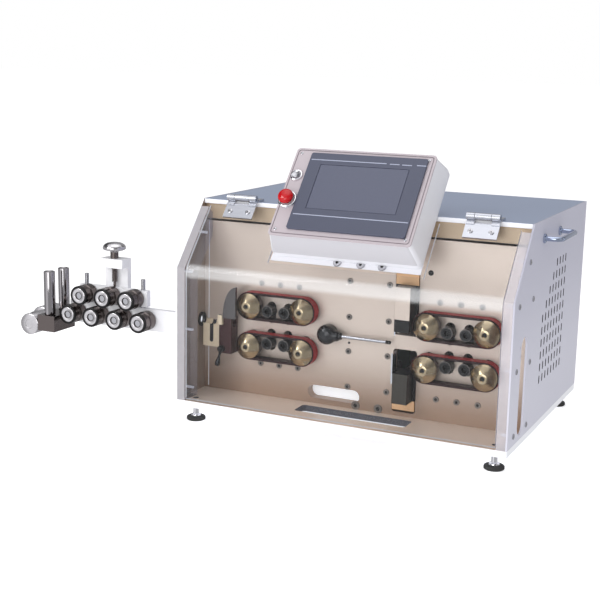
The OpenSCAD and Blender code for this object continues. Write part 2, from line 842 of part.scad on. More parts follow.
module roller_slide_block() {
    block_w = 2 * guide_half + 4 * guide_r + 8;
    color("silver") difference() {
        union() {
            translate([-straight_x - block_w / 2, arm_y, slide_z0]) cube([block_w, slide_t, slide_h]);
            for (i = [0:2])
                rod_y(upper_roller_x(i), wire_z + roller_rise, arm_y - roller_l, roller_l + 1, roller_pin_r);
        }
        for (s = [-1, 1]) translate([-straight_x + s * guide_half, arm_y + arm_t / 2, slide_z0 - 1])
            cylinder(h = slide_h + 2, r = guide_r + run_fit);
        translate([-straight_x, arm_y + slide_t / 2, slide_z0 - 1])
            cylinder(h = slide_h + 2, r = screw_r / 2 + run_fit);
    }
}

// Screw with a round knob, held in the bracket's cap by its hub and a ring, and turned
// into the slide block
module adjusting_screw() {
    tip_z = slide_z0 + 9;
    shank_z = slide_z0 + slide_h + 10;
    ring_h = 2.5;
    color("silver") translate([-straight_x, arm_y + slide_t / 2, 0]) {
        translate([0, 0, tip_z]) cylinder(h = shank_z + 1 - tip_z, r = screw_r / 2);
        translate([0, 0, shank_z]) cylinder(h = knob_z + 1 - shank_z, r = screw_r);
        translate([0, 0, bracket_top - bracket_cap_h - 0.3 - ring_h]) cylinder(h = ring_h, r = ring_r);
        translate([0, 0, bracket_top + 0.3]) cylinder(h = knob_z - bracket_top, r = screw_r + 2.5);
        translate([0, 0, knob_z]) rotate_extrude() polygon([
            [0, 0], [knob_r - 5, 0], [knob_r, 4], [knob_r, knob_h - 4], [knob_r - 4, knob_h], [0, knob_h]]);
    }
}

// Grooved roller on a pin that points to the front
module straightening_roller(x, z) {
    groove = 3;
    mid = roller_l / 2;
    bore = roller_pin_r + run_fit;
    color("dimgray") translate([x, arm_y - 2, z]) rotate([90, 0, 0]) rotate_extrude() polygon([
        [bore, 0], [roller_r - 1, 0], [roller_r, 1], [roller_r, mid - groove], [roller_r - groove, mid],
        [roller_r, mid + groove], [roller_r, roller_l - 1], [roller_r - 1, roller_l],
        [bore + 6, roller_l], [bore + 5, roller_l - 2], [bore, roller_l - 2]]);
}

module inlet_roller_holder() {
    block_y0 = wire_y - upright_y - upright_r - 3;
    block_y1 = lug_y + lug_t;
    lug_x0 = rear_lying_x - 12;
    color("dimgray") {
        translate([holder_x1 - holder_w, block_y0, holder_top - holder_h])
            cube([holder_w, block_y1 - block_y0, holder_h]);
        translate([lug_x0, lug_y, lying_z - 11]) cube([holder_x1 - holder_w + 1 - lug_x0, lug_t, 22]);
        for (s = [-1, 1]) translate([upright_x, wire_y + s * upright_y, holder_top - 1])
            cylinder(h = upright_l, r = upright_pin_r);
        rod_y(front_lying_x, lying_z, lug_y - lying_l + 4, lying_l, lying_pin_r);
        rod_y(rear_lying_x, lying_z, lug_y + lug_t - 4, lying_l, lying_pin_r);
    }
}

// Smooth chrome sleeve with rounded rims, closed at its far end
module sleeve(l, r, pin_r) {
    cap = 5;
    color("silver") rotate_extrude() polygon([
        [pin_r + run_fit, 0], [r - 1.5, 0], [r, 1.5], [r, l - 2], [r - 2, l], [0, l],
        [0, l - cap], [pin_r + run_fit, l - cap]]);
}

module upright_roller(s) {
    translate([upright_x, wire_y + s * upright_y, holder_top + gap])
        sleeve(upright_l + cap_room, upright_r, upright_pin_r);
}

module lying_roller(x, y, turn) {
    translate([x, y, lying_z]) rotate([turn, 0, 0]) sleeve(lying_l + cap_room - 4, lying_r, lying_pin_r);
}

module stadium(l, r) {
    square([l, 2 * r], center = true);
    for (s = [-1, 1]) translate([s * l / 2, 0]) circle(r);
}

// Slide plate behind the mechanism plate, with the pulley shafts and two big cap bolts on it
module carrier(side, level) {
    x = unit_x(side);
    z = unit_z(level);
    back_y = plate_y + plate_t + carrier_clear;
    bolt_front = belt_y0 + 2;
    bolt_z = z - up(level) * bolt_drop;
    socket_d = 7;
    socket_r = 5;
    color("dimgray") {
        along_y(back_y, slide_plate_t) translate([x, z]) rounded(shaft_pitch + 30, 2 * pulley_r + 3, 6);
        for (end = ENDS)
            rod_y(end_x(side, end), z, belt_y0 - shaft_end, back_y - belt_y0 + shaft_end + 2, shaft_r);
        for (s = [-1, 1]) translate([x + s * bolt_half, 0, bolt_z]) {
            rod_y(0, 0, plate_y - gap - 1, back_y - plate_y + gap + 3, bolt_r);
            difference() {
                rod_y(0, 0, bolt_front, plate_y - gap - bolt_front, bolt_head_r);
                rotate([-90, 0, 0]) translate([0, 0, bolt_front - 1])
                    cylinder(h = socket_d + 1, r = socket_r, $fn = 6);
            }
        }
    }
}

module feed_belt(side, level) {
    color("maroon") along_y(belt_y0, belt_w) translate([unit_x(side), unit_z(level)]) difference() {
        stadium(shaft_pitch, belt_r + belt_t);
        stadium(shaft_pitch, belt_r);
    }
}

// Pulley with the brass cone nut that holds it on its shaft
module feed_pulley(side, level, end) {
    tip_r = 8;
    socket_r = 4;
    bore = shaft_r + run_fit;
    nut_floor = cone_h - 4.5;
    translate([end_x(side, end), belt_y0 + belt_w - gap, unit_z(level)]) rotate([90, 0, 0]) {
        color("dimgray") difference() {
            cylinder(h = belt_w - gap, r = pulley_r);
            translate([0, 0, -1]) cylinder(h = belt_w + 2, r = bore);
        }
        color("gold") translate([0, 0, belt_w - gap + seat_gap]) rotate_extrude() polygon([
            [bore, 0], [cone_r, 0], [cone_r, 1.5], [tip_r, cone_h], [socket_r, cone_h],
            [socket_r, cone_h - 3], [0, cone_h - 3], [0, nut_floor], [bore, nut_floor]]);
    }
}

in_frame() base_plate();
in_frame() left_side_panel();
in_frame() right_side_panel();
in_frame() top_panel();
in_frame() rear_panel();
in_frame() mechanism_plate();
in_frame() cover_side_strips();
in_frame() carry_handles();
in_frame() levelling_feet();
in_frame() power_inlet();
in_frame() drive_motors();
in_frame() control_electronics();
in_frame() cover_hinge_bases();
in_frame() pod_housing();
in_frame() pod_bracket();
in_frame() pod_face();
in_frame() touchscreen();
in_frame() inlet_guide();
in_frame() straightener_arm();
in_frame() straightener_bracket();
in_frame() inlet_roller_holder();
in_frame() cover_sheet();
in_frame() cover_hinge_leaves();
in_frame() estop_button();
in_frame() start_switch();
in_frame() clamp_lever();
in_frame() upper_tool_slide();
in_frame() upper_blade();
in_frame() lower_tool_slide();
in_frame() lower_blade();
in_frame() guide_tube();
for (i = [0:3]) {
    in_frame()
        straightening_roller(lower_roller_x(i), arm_z);
}
for (i = [0:2]) {
    in_frame()
        straightening_roller(upper_roller_x(i), wire_z + roller_rise);
}
in_frame() roller_slide_block();
in_frame() adjusting_screw();
in_frame() upright_roller(-1);  // front_upright_roller
in_frame() upright_roller(1);  // rear_upright_roller
in_frame()  // front_lying_roller
    lying_roller(front_lying_x, lug_y - gap, 90);
in_frame()  // rear_lying_roller
    lying_roller(rear_lying_x, lug_y + lug_t + gap, -90);
for (side = SIDES, level = LEVELS) {
    in_frame() carrier(side, level);
    in_frame() feed_belt(side, level);
    for (end = ENDS) {
        in_frame()
            feed_pulley(side, level, end);
    }
}
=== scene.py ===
"""The looks of a bench machine that feeds, cuts and strips wire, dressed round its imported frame."""

import logging
import math
from dataclasses import dataclass
from enum import Enum
from typing import Callable, Iterable, Sequence

import bmesh
import bpy
from mathutils import Euler, Matrix, Vector


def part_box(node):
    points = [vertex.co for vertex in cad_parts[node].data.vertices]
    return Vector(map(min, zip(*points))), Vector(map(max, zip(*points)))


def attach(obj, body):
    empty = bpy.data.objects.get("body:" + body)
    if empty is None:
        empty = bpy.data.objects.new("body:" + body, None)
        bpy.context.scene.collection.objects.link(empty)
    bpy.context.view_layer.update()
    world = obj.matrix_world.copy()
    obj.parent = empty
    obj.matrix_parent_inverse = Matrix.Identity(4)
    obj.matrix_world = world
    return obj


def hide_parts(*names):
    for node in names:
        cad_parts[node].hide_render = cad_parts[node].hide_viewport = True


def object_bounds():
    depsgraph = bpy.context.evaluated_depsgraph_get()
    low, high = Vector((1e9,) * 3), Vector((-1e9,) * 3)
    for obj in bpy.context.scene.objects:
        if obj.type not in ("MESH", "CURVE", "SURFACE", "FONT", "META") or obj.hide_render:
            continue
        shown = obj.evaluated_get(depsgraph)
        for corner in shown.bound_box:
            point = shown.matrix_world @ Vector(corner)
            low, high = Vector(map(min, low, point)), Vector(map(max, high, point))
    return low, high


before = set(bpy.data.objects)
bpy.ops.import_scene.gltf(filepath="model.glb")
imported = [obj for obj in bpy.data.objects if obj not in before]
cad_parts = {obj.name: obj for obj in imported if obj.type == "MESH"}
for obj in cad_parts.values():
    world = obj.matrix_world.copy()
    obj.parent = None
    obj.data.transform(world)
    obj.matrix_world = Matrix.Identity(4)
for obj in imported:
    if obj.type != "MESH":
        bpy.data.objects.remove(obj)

LOG = logging.getLogger("wire_machine")
MM = 0.001
CAD_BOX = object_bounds()
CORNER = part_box("base_plate")[0]

Colour = tuple[float, float, float]
Profile = Sequence[tuple[float, float]]
FaceRule = Callable[[Vector, Vector], int]


def spot(x: float, y: float, z: float) -> Vector:
    """Return the point that lies x, y, z mm from the base plate's front left bottom corner."""
    return CORNER + Vector((x, y, z)) * MM


def in_machine(point: Vector) -> Vector:
    """Return a row frame point as mm from the base plate's front left bottom corner."""
    return (point - CORNER) / MM


def linear(colour: Colour, gain: float = 1.0) -> tuple[float, float, float, float]:
    """Turn a screen colour into the shader's own values.

    Args:
        colour: red, green and blue from 0 to 255.
        gain: a factor on the shader's values.

    Returns:
        Linear red, green, blue and an alpha of one.
    """
    parts = [c / 255.0 for c in colour]
    parts = [p / 12.92 if p <= 0.04045 else ((p + 0.055) / 1.055) ** 2.4 for p in parts]
    red, green, blue = (min(1.0, p * gain) for p in parts)
    return red, green, blue, 1.0


FRONT = Vector((0.0, -1.0, 0.0))
RIGHT = Vector((1.0, 0.0, 0.0))
UP = Vector((0.0, 0.0, 1.0))


def machine_box(node: str) -> tuple[Vector, Vector]:
    """Return a CAD node's low and high corner in machine mm."""
    low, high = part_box(node)
    return in_machine(low), in_machine(high)


def back_middle(node: str) -> Vector:
    """Return the middle of the rear face of a CAD node's box."""
    low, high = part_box(node)
    middle = (low + high) / 2.0
    return Vector((middle.x, high.y, middle.z))


class Wiring:
    """A node tree that is laid out node by node."""

    def __init__(self, tree: bpy.types.NodeTree) -> None:
        """Take the tree that nodes are added to."""
        self.tree = tree

    def lead(self, value: object, socket: bpy.types.NodeSocket) -> None:
        """Link another socket to an input, or set a plain value on it."""
        if isinstance(value, bpy.types.NodeSocket):
            self.tree.links.new(value, socket)
        else:
            socket.default_value = value

    def add(
        self, kind: str, settings: dict[str, object] | None = None, feeds: Sequence[object] = (),
        **inputs: object
    ) -> bpy.types.Node:
        """Add a node.

        Args:
            kind: the node's type.
            settings: its own settings.
            feeds: values or sockets for its inputs in their order, where inputs share a name.
            inputs: values or sockets for its inputs, with spaces written as underscores.

        Returns:
            The new node.
        """
        node = self.tree.nodes.new(kind)
        for key, value in (settings or {}).items():
            setattr(node, key, value)
        for socket, value in zip(node.inputs, feeds):
            self.lead(value, socket)
        for key, value in inputs.items():
            self.lead(value, node.inputs[key.replace("_", " ")])
        return node

    def height(self) -> bpy.types.NodeSocket:
        """Return a socket that gives a surface point's height."""
        places = self.add("ShaderNodeTexCoord").outputs["Object"]
        return self.add("ShaderNodeSeparateXYZ", Vector=places).outputs["Z"]


class Grain(Enum):
    """How a finish's fine pattern lies on the surface, as stretches along X, Y and Z."""

    SPECKLE = (1.0, 1.0, 1.0)
    ALONG_WIDTH = (0.02, 1.0, 1.0)
    UPRIGHT = (1.0, 1.0, 0.02)
    TURNED = (0.0, 1.0, 0.0)


@dataclass(frozen=True)
class Finish:
    """A surface with a colour, a gloss and a fine pattern of its own.

    The grain size is in mm, and contrast and relief say how far it moves colour and surface. A fade is a colour
    that the finish takes on from a height in mm, where it is full, to another, where it ends.
    """

    name: str
    colour: Colour
    roughness: float
    metallic: float = 0.0
    grain: Grain = Grain.SPECKLE
    grain_size: float = 1.2
    contrast: float = 0.04
    relief: float = 0.05
    coat: float = 0.0
    anisotropy: float = 0.0
    specular: float = 0.5
    glow: float = 0.0
    fade: tuple[Colour, float, float] | None = None

    def material(self) -> bpy.types.Material:
        """Return this finish's material, made on first use."""
        return bpy.data.materials.get(self.name) or self._make()

    def _make(self) -> bpy.types.Material:
        """Build the node material and return it."""
        material = bpy.data.materials.new(self.name)
        material.use_nodes = True
        shader = material.node_tree.nodes["Principled BSDF"]
        for socket, value in (
            ("Metallic", self.metallic), ("Coat Weight", self.coat), ("Anisotropic", self.anisotropy),
            ("Specular IOR Level", self.specular), ("Emission Color", linear(self.colour)),
            ("Emission Strength", self.glow),
        ):
            shader.inputs[socket].default_value = value
        self._pattern(Wiring(material.node_tree), shader)
        return material

    def _pattern(self, wiring: Wiring, shader: bpy.types.Node) -> None:
        """Lead the fine pattern into the shader's colour, roughness and normal.

        Args:
            wiring: the material's node tree.
            shader: its Principled node.
        """
        places = wiring.add("ShaderNodeTexCoord").outputs["UV" if self.grain is Grain.TURNED else "Object"]
        stretch = wiring.add("ShaderNodeMapping", Vector=places, Scale=self.grain.value)
        noise = wiring.add(
            "ShaderNodeTexNoise", Vector=stretch.outputs["Vector"], Scale=1.0 / (self.grain_size * MM),
            Detail=GRAIN_DETAIL,
        ).outputs["Fac"]
        shades = wiring.add("ShaderNodeValToRGB", Fac=noise)
        gains = (1.0 - self.contrast, 1.0 + self.contrast)
        for element, position, gain in zip(shades.color_ramp.elements, SHADE_STOPS, gains):
            element.position = position
            element.color = linear(self.colour, gain)
        gloss = wiring.add(
            "ShaderNodeMapRange", Value=noise,
            To_Min=max(LEAST_ROUGHNESS, self.roughness * (1.0 - GLOSS_SPREAD)),
            To_Max=min(1.0, self.roughness * (1.0 + GLOSS_SPREAD)),
        )
        bump = wiring.add(
            "ShaderNodeBump", Strength=self.relief, Distance=self.grain_size * MM * 0.5, Height=noise
        )
        wiring.lead(self._faded(wiring, shades.outputs["Color"]), shader.inputs["Base Color"])
        wiring.lead(gloss.outputs["Result"], shader.inputs["Roughness"])
        wiring.lead(bump.outputs["Normal"], shader.inputs["Normal"])
        if self.anisotropy:
            lay = wiring.add("ShaderNodeTangent", {"direction_type": "UV_MAP", "uv_map": TURNED_MAP})
            wiring.lead(lay.outputs["Tangent"], shader.inputs["Tangent"])
            shader.inputs["Anisotropic Rotation"].default_value = QUARTER_TURN

    def _faded(self, wiring: Wiring, tone: bpy.types.NodeSocket) -> bpy.types.NodeSocket:
        """Return the socket of a tone that is tinted towards the fade's height."""
        if not self.fade:
            return tone
        colour, full, none = self.fade
        share = wiring.add(
            "ShaderNodeMapRange", {"interpolation_type": "SMOOTHSTEP"}, Value=wiring.height(),
            From_Min=CORNER.z + full * MM, From_Max=CORNER.z + none * MM, To_Min=1.0, To_Max=0.0,
        )
        return wiring.add(
            "ShaderNodeMix", {"data_type": "RGBA", "blend_type": "MULTIPLY"}, Factor=share.outputs["Result"],
            A=tone, B=linear(colour),
        ).outputs["Result"]


@dataclass(frozen=True)
class FloorFinish(Finish):
    """A studio floor that shines back white and lies in shade beneath the machine.

    The shade is a field's middle and half sizes along X and Y, and the width of its soft edge, in mm.
    """

    shade: tuple[float, float, float, float, float] = (290.0, 320.0, 190.0, 130.0, 40.0)

    def _make(self) -> bpy.types.Material:
        """Build the node material and return it."""
        material = super()._make()
        wiring = Wiring(material.node_tree)
        x, y, half_x, half_y, soft = self.shade
        flow = wiring.add("ShaderNodeTexCoord").outputs["Object"]
        for step, *by in (
            ("SUBTRACT", spot(x, y, 0)), ("MULTIPLY", (1, 1, 0)), ("ABSOLUTE",),
            ("SUBTRACT", (half_x * MM, half_y * MM, 0)), ("MAXIMUM", (0, 0, 0)),
        ):
            flow = wiring.add("ShaderNodeVectorMath", {"operation": step}, (flow, *by)).outputs["Vector"]
        away = wiring.add("ShaderNodeVectorMath", {"operation": "LENGTH"}, (flow,)).outputs["Value"]
        shine = wiring.add("ShaderNodeMapRange", Value=away, From_Max=soft * MM, To_Max=self.glow)
        shader = material.node_tree.nodes["Principled BSDF"]
        wiring.lead(shine.outputs["Result"], shader.inputs["Emission Strength"])
        return material


@dataclass(frozen=True)
class ClearFinish(Finish):
    """A clear sheet that lets light through and mirrors more the flatter one looks along it.

    Mirror is the share of light that it throws back face on. The pale share that is mixed in is, all
    over, the milky scatter of its body, and, in a level band given by its middle height and half width in mm, a
    painted highlight where the bent sheet catches light.
    """

    mirror: float = 0.01
    haze_and_highlight: float = 0.0
    band: tuple[float, float] | None = None

    def _make(self) -> bpy.types.Material:
        """Build the see-through node material and return it."""
        material = super()._make()
        nodes = material.node_tree.nodes
        wiring = Wiring(material.node_tree)
        glass = wiring.add("ShaderNodeBsdfTransparent", Color=linear(self.colour)).outputs["BSDF"]
        gloss = nodes["Principled BSDF"].outputs["BSDF"]
        edge = wiring.add("ShaderNodeLayerWeight").outputs["Facing"]
        steep = wiring.add("ShaderNodeMath", {"operation": "POWER"}, (edge, EDGE_POWER)).outputs["Value"]
        mirror = wiring.add("ShaderNodeMapRange", Value=steep, To_Min=self.mirror).outputs["Result"]
        # in the band the pale mix is a painted highlight; elsewhere it is the body's even milky scatter
        haze_and_highlight = self._painted_highlight(wiring) if self.band else self.haze_and_highlight
        veil = wiring.add("ShaderNodeMath", {"operation": "MAXIMUM"}, (mirror, haze_and_highlight)).outputs["Value"]
        mix = wiring.add("ShaderNodeMixShader", None, (veil, glass, gloss)).outputs["Shader"]
        wiring.lead(mix, nodes["Material Output"].inputs["Surface"])
        return material

    def _painted_highlight(self, wiring: Wiring) -> bpy.types.NodeSocket:
        """Return the socket of a painted highlight that fades out above and below the band's middle."""
        middle, half = self.band
        centre = CORNER.z + middle * MM
        level = wiring.add("ShaderNodeMath", {"operation": "SUBTRACT"}, (wiring.height(), centre))
        away = wiring.add("ShaderNodeMath", {"operation": "ABSOLUTE"}, (level.outputs["Value"],))
        return wiring.add(
            "ShaderNodeMapRange", {"interpolation_type": "SMOOTHSTEP"}, Value=away.outputs["Value"],
            From_Min=half * MM * HIGHLIGHT_CORE, From_Max=half * MM, To_Min=self.haze_and_highlight, To_Max=0.0,
        ).outputs["Result"]


TURNED_MAP = "turned"
SOCKET_MARK = "socket_floor"
GRAIN_DETAIL = 3.0
SHADE_STOPS = (0.3, 0.7)
GLOSS_SPREAD = 0.15
LEAST_ROUGHNESS = 0.02
QUARTER_TURN = 0.25
EDGE_POWER = 5.0
HIGHLIGHT_CORE = 0.35

PANEL_PAINT = Finish(
    "panel_powder_coat", (204, 204, 216), 0.42, grain_size=0.9, contrast=0.02, relief=0.06,
    fade=((226, 226, 231), 330.0, 60.0)
)
INNER_TAN = Finish("panel_inside_tan", (152, 136, 123), 0.4, 0.3, Grain.UPRIGHT, 0.9, 0.05, 0.03)
# Dark walls of vents and slots: painted shade where the holes lie in shadow.
VENT_SHADE = Finish("vent_wall_painted_shade", (74, 72, 78), 0.5, grain_size=0.8)
# White sheet behind the plate's window, set to glow: painted light, though it is no lamp.
WINDOW_GLOW = Finish("window_painted_light", (250, 250, 252), 0.4, grain_size=1.0, contrast=0.01, glow=0.4)
TOP_PAINT = Finish("top_satin_blue", (158, 172, 200), 0.32, 0.35, grain_size=1.5, contrast=0.03)
# White of the base rim and the screw shanks; on the top's front lip, the left panel's front edge and the strip
# at the plate's left edge it is a painted highlight.
LIP_WHITE_AND_HIGHLIGHT = Finish("lip_white_and_painted_highlight", (242, 243, 248), 0.35, grain_size=0.9, contrast=0.01)
# Bronze of the set-back band under the top, darkened as painted shade for the top's overhang.
BAND_BRONZE_AND_SHADE = Finish("band_bronze_painted_shade", (190, 168, 142), 0.4, 0.3, grain_size=1.0)
FLOOR_TAN = Finish("bay_floor_tan", (238, 222, 208), 0.38, 0.3, Grain.ALONG_WIDTH, 0.8, 0.04)
PLATE_METAL = Finish(
    "plate_brushed_champagne", (212, 196, 183), 0.36, 0.5, Grain.ALONG_WIDTH, 0.7, 0.05, 0.04,
    fade=((190, 174, 162), 14.0, 120.0)
)
CHROME = Finish("chrome", (212, 214, 221), 0.08, 1.0, grain_size=2.0, contrast=0.02, relief=0.01)
TURNED_CHROME = Finish(
    "turned_chrome", (214, 212, 214), 0.22, 1.0, Grain.TURNED, 0.5, 0.06, 0.02, anisotropy=0.7
)
ROLLER_CHROME = Finish("roller_chrome", (172, 169, 171), 0.12, 1.0, Grain.UPRIGHT, 0.8, 0.04, 0.02)
HANDLE_CHROME = Finish("handle_chrome", (176, 186, 208), 0.1, 1.0, grain_size=2.0, contrast=0.02, relief=0.01)
TURNED_STEEL = Finish("turned_steel", (188, 188, 192), 0.24, 1.0, Grain.TURNED, 0.5, 0.08, 0.03)
SCREW_STEEL = Finish("screw_steel", (128, 120, 114), 0.32, 0.8, grain_size=0.6, contrast=0.08)
# Black floors of sockets and holes: painted shade of their depth.
SOCKET_SHADE = Finish("screw_socket_painted_shade", (18, 16, 16), 0.6, grain_size=0.6, contrast=0.1)
BRASS = Finish(
    "turned_brass", (188, 170, 140), 0.2, 1.0, Grain.TURNED, 0.5, 0.14, 0.06, anisotropy=0.5
)
GOLD = Finish("anodised_gold", (226, 182, 138), 0.36, 0.4, Grain.UPRIGHT, 0.6, 0.06, 0.03)
BLACK_OXIDE = Finish("black_oxide", (15, 14, 15), 0.36, grain_size=0.8, contrast=0.1, specular=0.3)
OXIDE_RIM = Finish("black_oxide_rim", (104, 99, 97), 0.34, 0.8, grain_size=0.6, contrast=0.08)
DARK_STEEL = Finish("dark_steel", (112, 104, 102), 0.22, 1.0, Grain.TURNED, 0.6, 0.1, 0.03)
TOOL_STEEL = Finish("tool_steel", (215, 216, 220), 0.18, 1.0, Grain.UPRIGHT, 0.4, 0.05, 0.02)
BLACK_GLOSS = Finish("black_gloss", (20, 19, 22), 0.16, grain_size=2.0, contrast=0.1, relief=0.01)
RUBBER = Finish("foot_rubber", (34, 33, 36), 0.62, grain_size=0.7, contrast=0.12, relief=0.12)
BELT_RED = Finish("belt_red", (150, 20, 27), 0.5, grain_size=0.6, contrast=0.1, relief=0.08, specular=0.2)
# Darker copy of the belt's red for its edges and inside: painted shade.
BELT_SHADE = Finish("belt_painted_shade", (38, 13, 16), 0.5, grain_size=0.6, contrast=0.12, relief=0.08, specular=0.25)
MAROON = Finish("column_maroon", (62, 32, 32), 0.35, 0.3, grain_size=1.0)
BEIGE = Finish("block_beige", (226, 208, 180), 0.4, 0.15, grain_size=1.0)
HOLDER_DARK = Finish("holder_dark", (58, 54, 48), 0.36, 0.4, Grain.UPRIGHT, 0.7, 0.08)
HINGE_STEEL = Finish("hinge_steel", (190, 192, 199), 0.26, 1.0, Grain.ALONG_WIDTH, 0.5, 0.05, 0.02)
# Front faces of the clear strips: a whiter milky mix, painted highlight for the light these faces catch.
STRIP_FRONT_HIGHLIGHT = ClearFinish(
    "strip_front_painted_highlight", (236, 234, 241), 0.2, grain_size=6.0, contrast=0.02, relief=0.0, haze_and_highlight=0.42
)
GUARD_GREY = Finish("guard_grey", (92, 88, 88), 0.36, 0.4, grain_size=0.9)
POD_WHITE = Finish("pod_white", (222, 222, 228), 0.38, grain_size=0.8, contrast=0.015)
# Greyer copy of the pod's white for its underside: painted shade.
POD_UNDER_SHADE = Finish("pod_underside_painted_shade", (194, 193, 199), 0.4, grain_size=0.8, contrast=0.015)
POD_FACE = Finish("pod_face_grey", (186, 176, 182), 0.4, grain_size=0.7, contrast=0.03)
FACE_LINE = Finish("face_line_grey", (120, 110, 116), 0.45, grain_size=0.7)
SLATE = Finish("bezel_slate", (72, 76, 95), 0.34, grain_size=0.6, contrast=0.04, relief=0.04)
DISPLAY = Finish("display_grey", (80, 84, 104), 0.22, grain_size=3.0, contrast=0.02, relief=0.0)
PALE_LINE = Finish("pale_line", (166, 172, 192), 0.4, grain_size=0.8)
RED_GLOSS = Finish("red_gloss", (184, 12, 22), 0.14, grain_size=1.5, contrast=0.04, relief=0.01)
ARM_WHITE = Finish("arm_white", (238, 238, 241), 0.36, grain_size=0.8, contrast=0.015)
MOTOR_BLACK = Finish("motor_black", (44, 44, 46), 0.5, 0.4, grain_size=1.0)
BOARD_GREEN = Finish("electronics_green", (44, 92, 66), 0.5, grain_size=1.5, contrast=0.15)
INLET_BLACK = Finish("inlet_black", (30, 30, 32), 0.45, grain_size=0.8)
# The cover's pale mix lies only in the band at its bend: a painted highlight.
CLEAR = ClearFinish(
    "clear_acrylic", (251, 252, 253), 0.03, grain_size=40.0, contrast=0.0, relief=0.0, haze_and_highlight=0.22,
    band=(238.0, 15.0)
)
CLEAR_STRIP = ClearFinish(
    "strip_acrylic", (244, 244, 249), 0.12, grain_size=6.0, contrast=0.02, relief=0.0, haze_and_highlight=0.1
)
# Pale opaque edges of the clear cover: painted highlight for the light its edges carry.
CLEAR_EDGE_HIGHLIGHT = Finish("acrylic_edge_painted_highlight", (226, 228, 236), 0.3, grain_size=0.8, contrast=0.03)
STUDIO_WHITE = FloorFinish(
    "studio_floor", (248, 248, 249), 0.7, grain_size=30.0, contrast=0.005, relief=0.0, specular=0.0, glow=0.5
)


def new_piece(name: str, mesh: bpy.types.Mesh) -> bpy.types.Object:
    """Put a mesh in the scene.

    Args:
        name: the piece's name.
        mesh: its mesh, already in place.

    Returns:
        The new object, at the origin.
    """
    piece = bpy.data.objects.new(name, mesh)
    bpy.context.scene.collection.objects.link(piece)
    return piece


def settle(piece: bpy.types.Object) -> bpy.types.Object:
    """Turn a piece's modifiers into plain mesh and return it."""
    graph = bpy.context.evaluated_depsgraph_get()
    mesh = bpy.data.meshes.new_from_object(piece.evaluated_get(graph), depsgraph=graph)
    piece.modifiers.clear()
    piece.data = mesh
    return piece


def smooth(piece: bpy.types.Object, sharp: float) -> bpy.types.Object:
    """Shade a piece smooth, but for edges sharper than an angle in degrees, and return it."""
    piece.data.shade_smooth()
    piece.data.set_sharp_from_angle(angle=math.radians(sharp))
    return piece


def break_edges(piece: bpy.types.Object, width: float, steps: int = 2) -> bpy.types.Object:
    """Round a piece's sharp edges and keep its flat faces flat.

    Args:
        piece: the piece, with plain faces.
        width: the width of the rounding in mm.
        steps: the facets across the rounding.

    Returns:
        The same object, as plain mesh.
    """
    piece.data.shade_smooth()
    bevel = piece.modifiers.new("broken edges", "BEVEL")
    bevel.width = width * MM
    bevel.segments = steps
    bevel.limit_method = "ANGLE"
    bevel.angle_limit = math.radians(38.0)
    bevel.miter_outer = "MITER_ARC"
    flat = piece.modifiers.new("flat faces", "WEIGHTED_NORMAL")
    flat.mode = "FACE_AREA"
    flat.weight = 100
    return settle(piece)


def seat(piece: bpy.types.Object, body: str, slot: str, *nodes: str) -> bpy.types.Object:
    """Let a finished piece ride on a body in place of CAD nodes.

    Args:
        piece: the finished piece.
        body: the CAD body that carries it.
        slot: the record's material slot for its finish; not used.
        nodes: the CAD nodes that it stands for.

    Returns:
        The same object.
    """
    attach(piece, body)
    if nodes:
        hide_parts(*nodes)
    LOG.info("piece %s rides on %s, %d faces", piece.name, body, len(piece.data.polygons))
    return piece


def keep(node: str, finish: Finish) -> None:
    """Show a CAD node as it is, in the given finish."""
    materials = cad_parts[node].data.materials
    materials.clear()
    materials.append(finish.material())
    LOG.info("node %s keeps its CAD shape", node)


def dress(
    node: str, body: str, slot: str, edge: float, finishes: Sequence[Finish], rule: FaceRule | None = None,
    levels: Sequence[float] = ()
) -> None:
    """Seat a copy of a CAD node in its place, with edges broken as a machined or folded part has them.

    Args:
        node: the CAD node.
        body: the CAD body that carries the copy.
        slot: the record's material slot for its finish; passed on to seat, which does not use it.
        edge: the width of the broken edges in mm.
        finishes: the finishes that its faces take.
        rule: the finish number for a face from its middle in machine mm and its normal.
        levels: heights in mm where faces are parted, so that a finish can end there.
    """
    form = bmesh.new()
    form.from_mesh(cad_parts[node].data)
    bmesh.ops.remove_doubles(form, verts=form.verts, dist=2e-6)
    bmesh.ops.dissolve_limit(form, angle_limit=math.radians(0.6), verts=form.verts, edges=form.edges)
    for level in levels:
        whole = form.verts[:] + form.edges[:] + form.faces[:]
        bmesh.ops.bisect_plane(form, geom=whole, plane_co=spot(0, 0, level), plane_no=UP)
    mesh = bpy.data.meshes.new(node + "_dressed")
    form.to_mesh(mesh)
    form.free()
    piece = new_piece(node + "_dressed", mesh)
    for finish in finishes:
        mesh.materials.append(finish.material())
    for face in mesh.polygons:
        face.material_index = rule(in_machine(face.center), face.normal) if rule else 0
    seat(break_edges(piece, edge), body, slot, node)


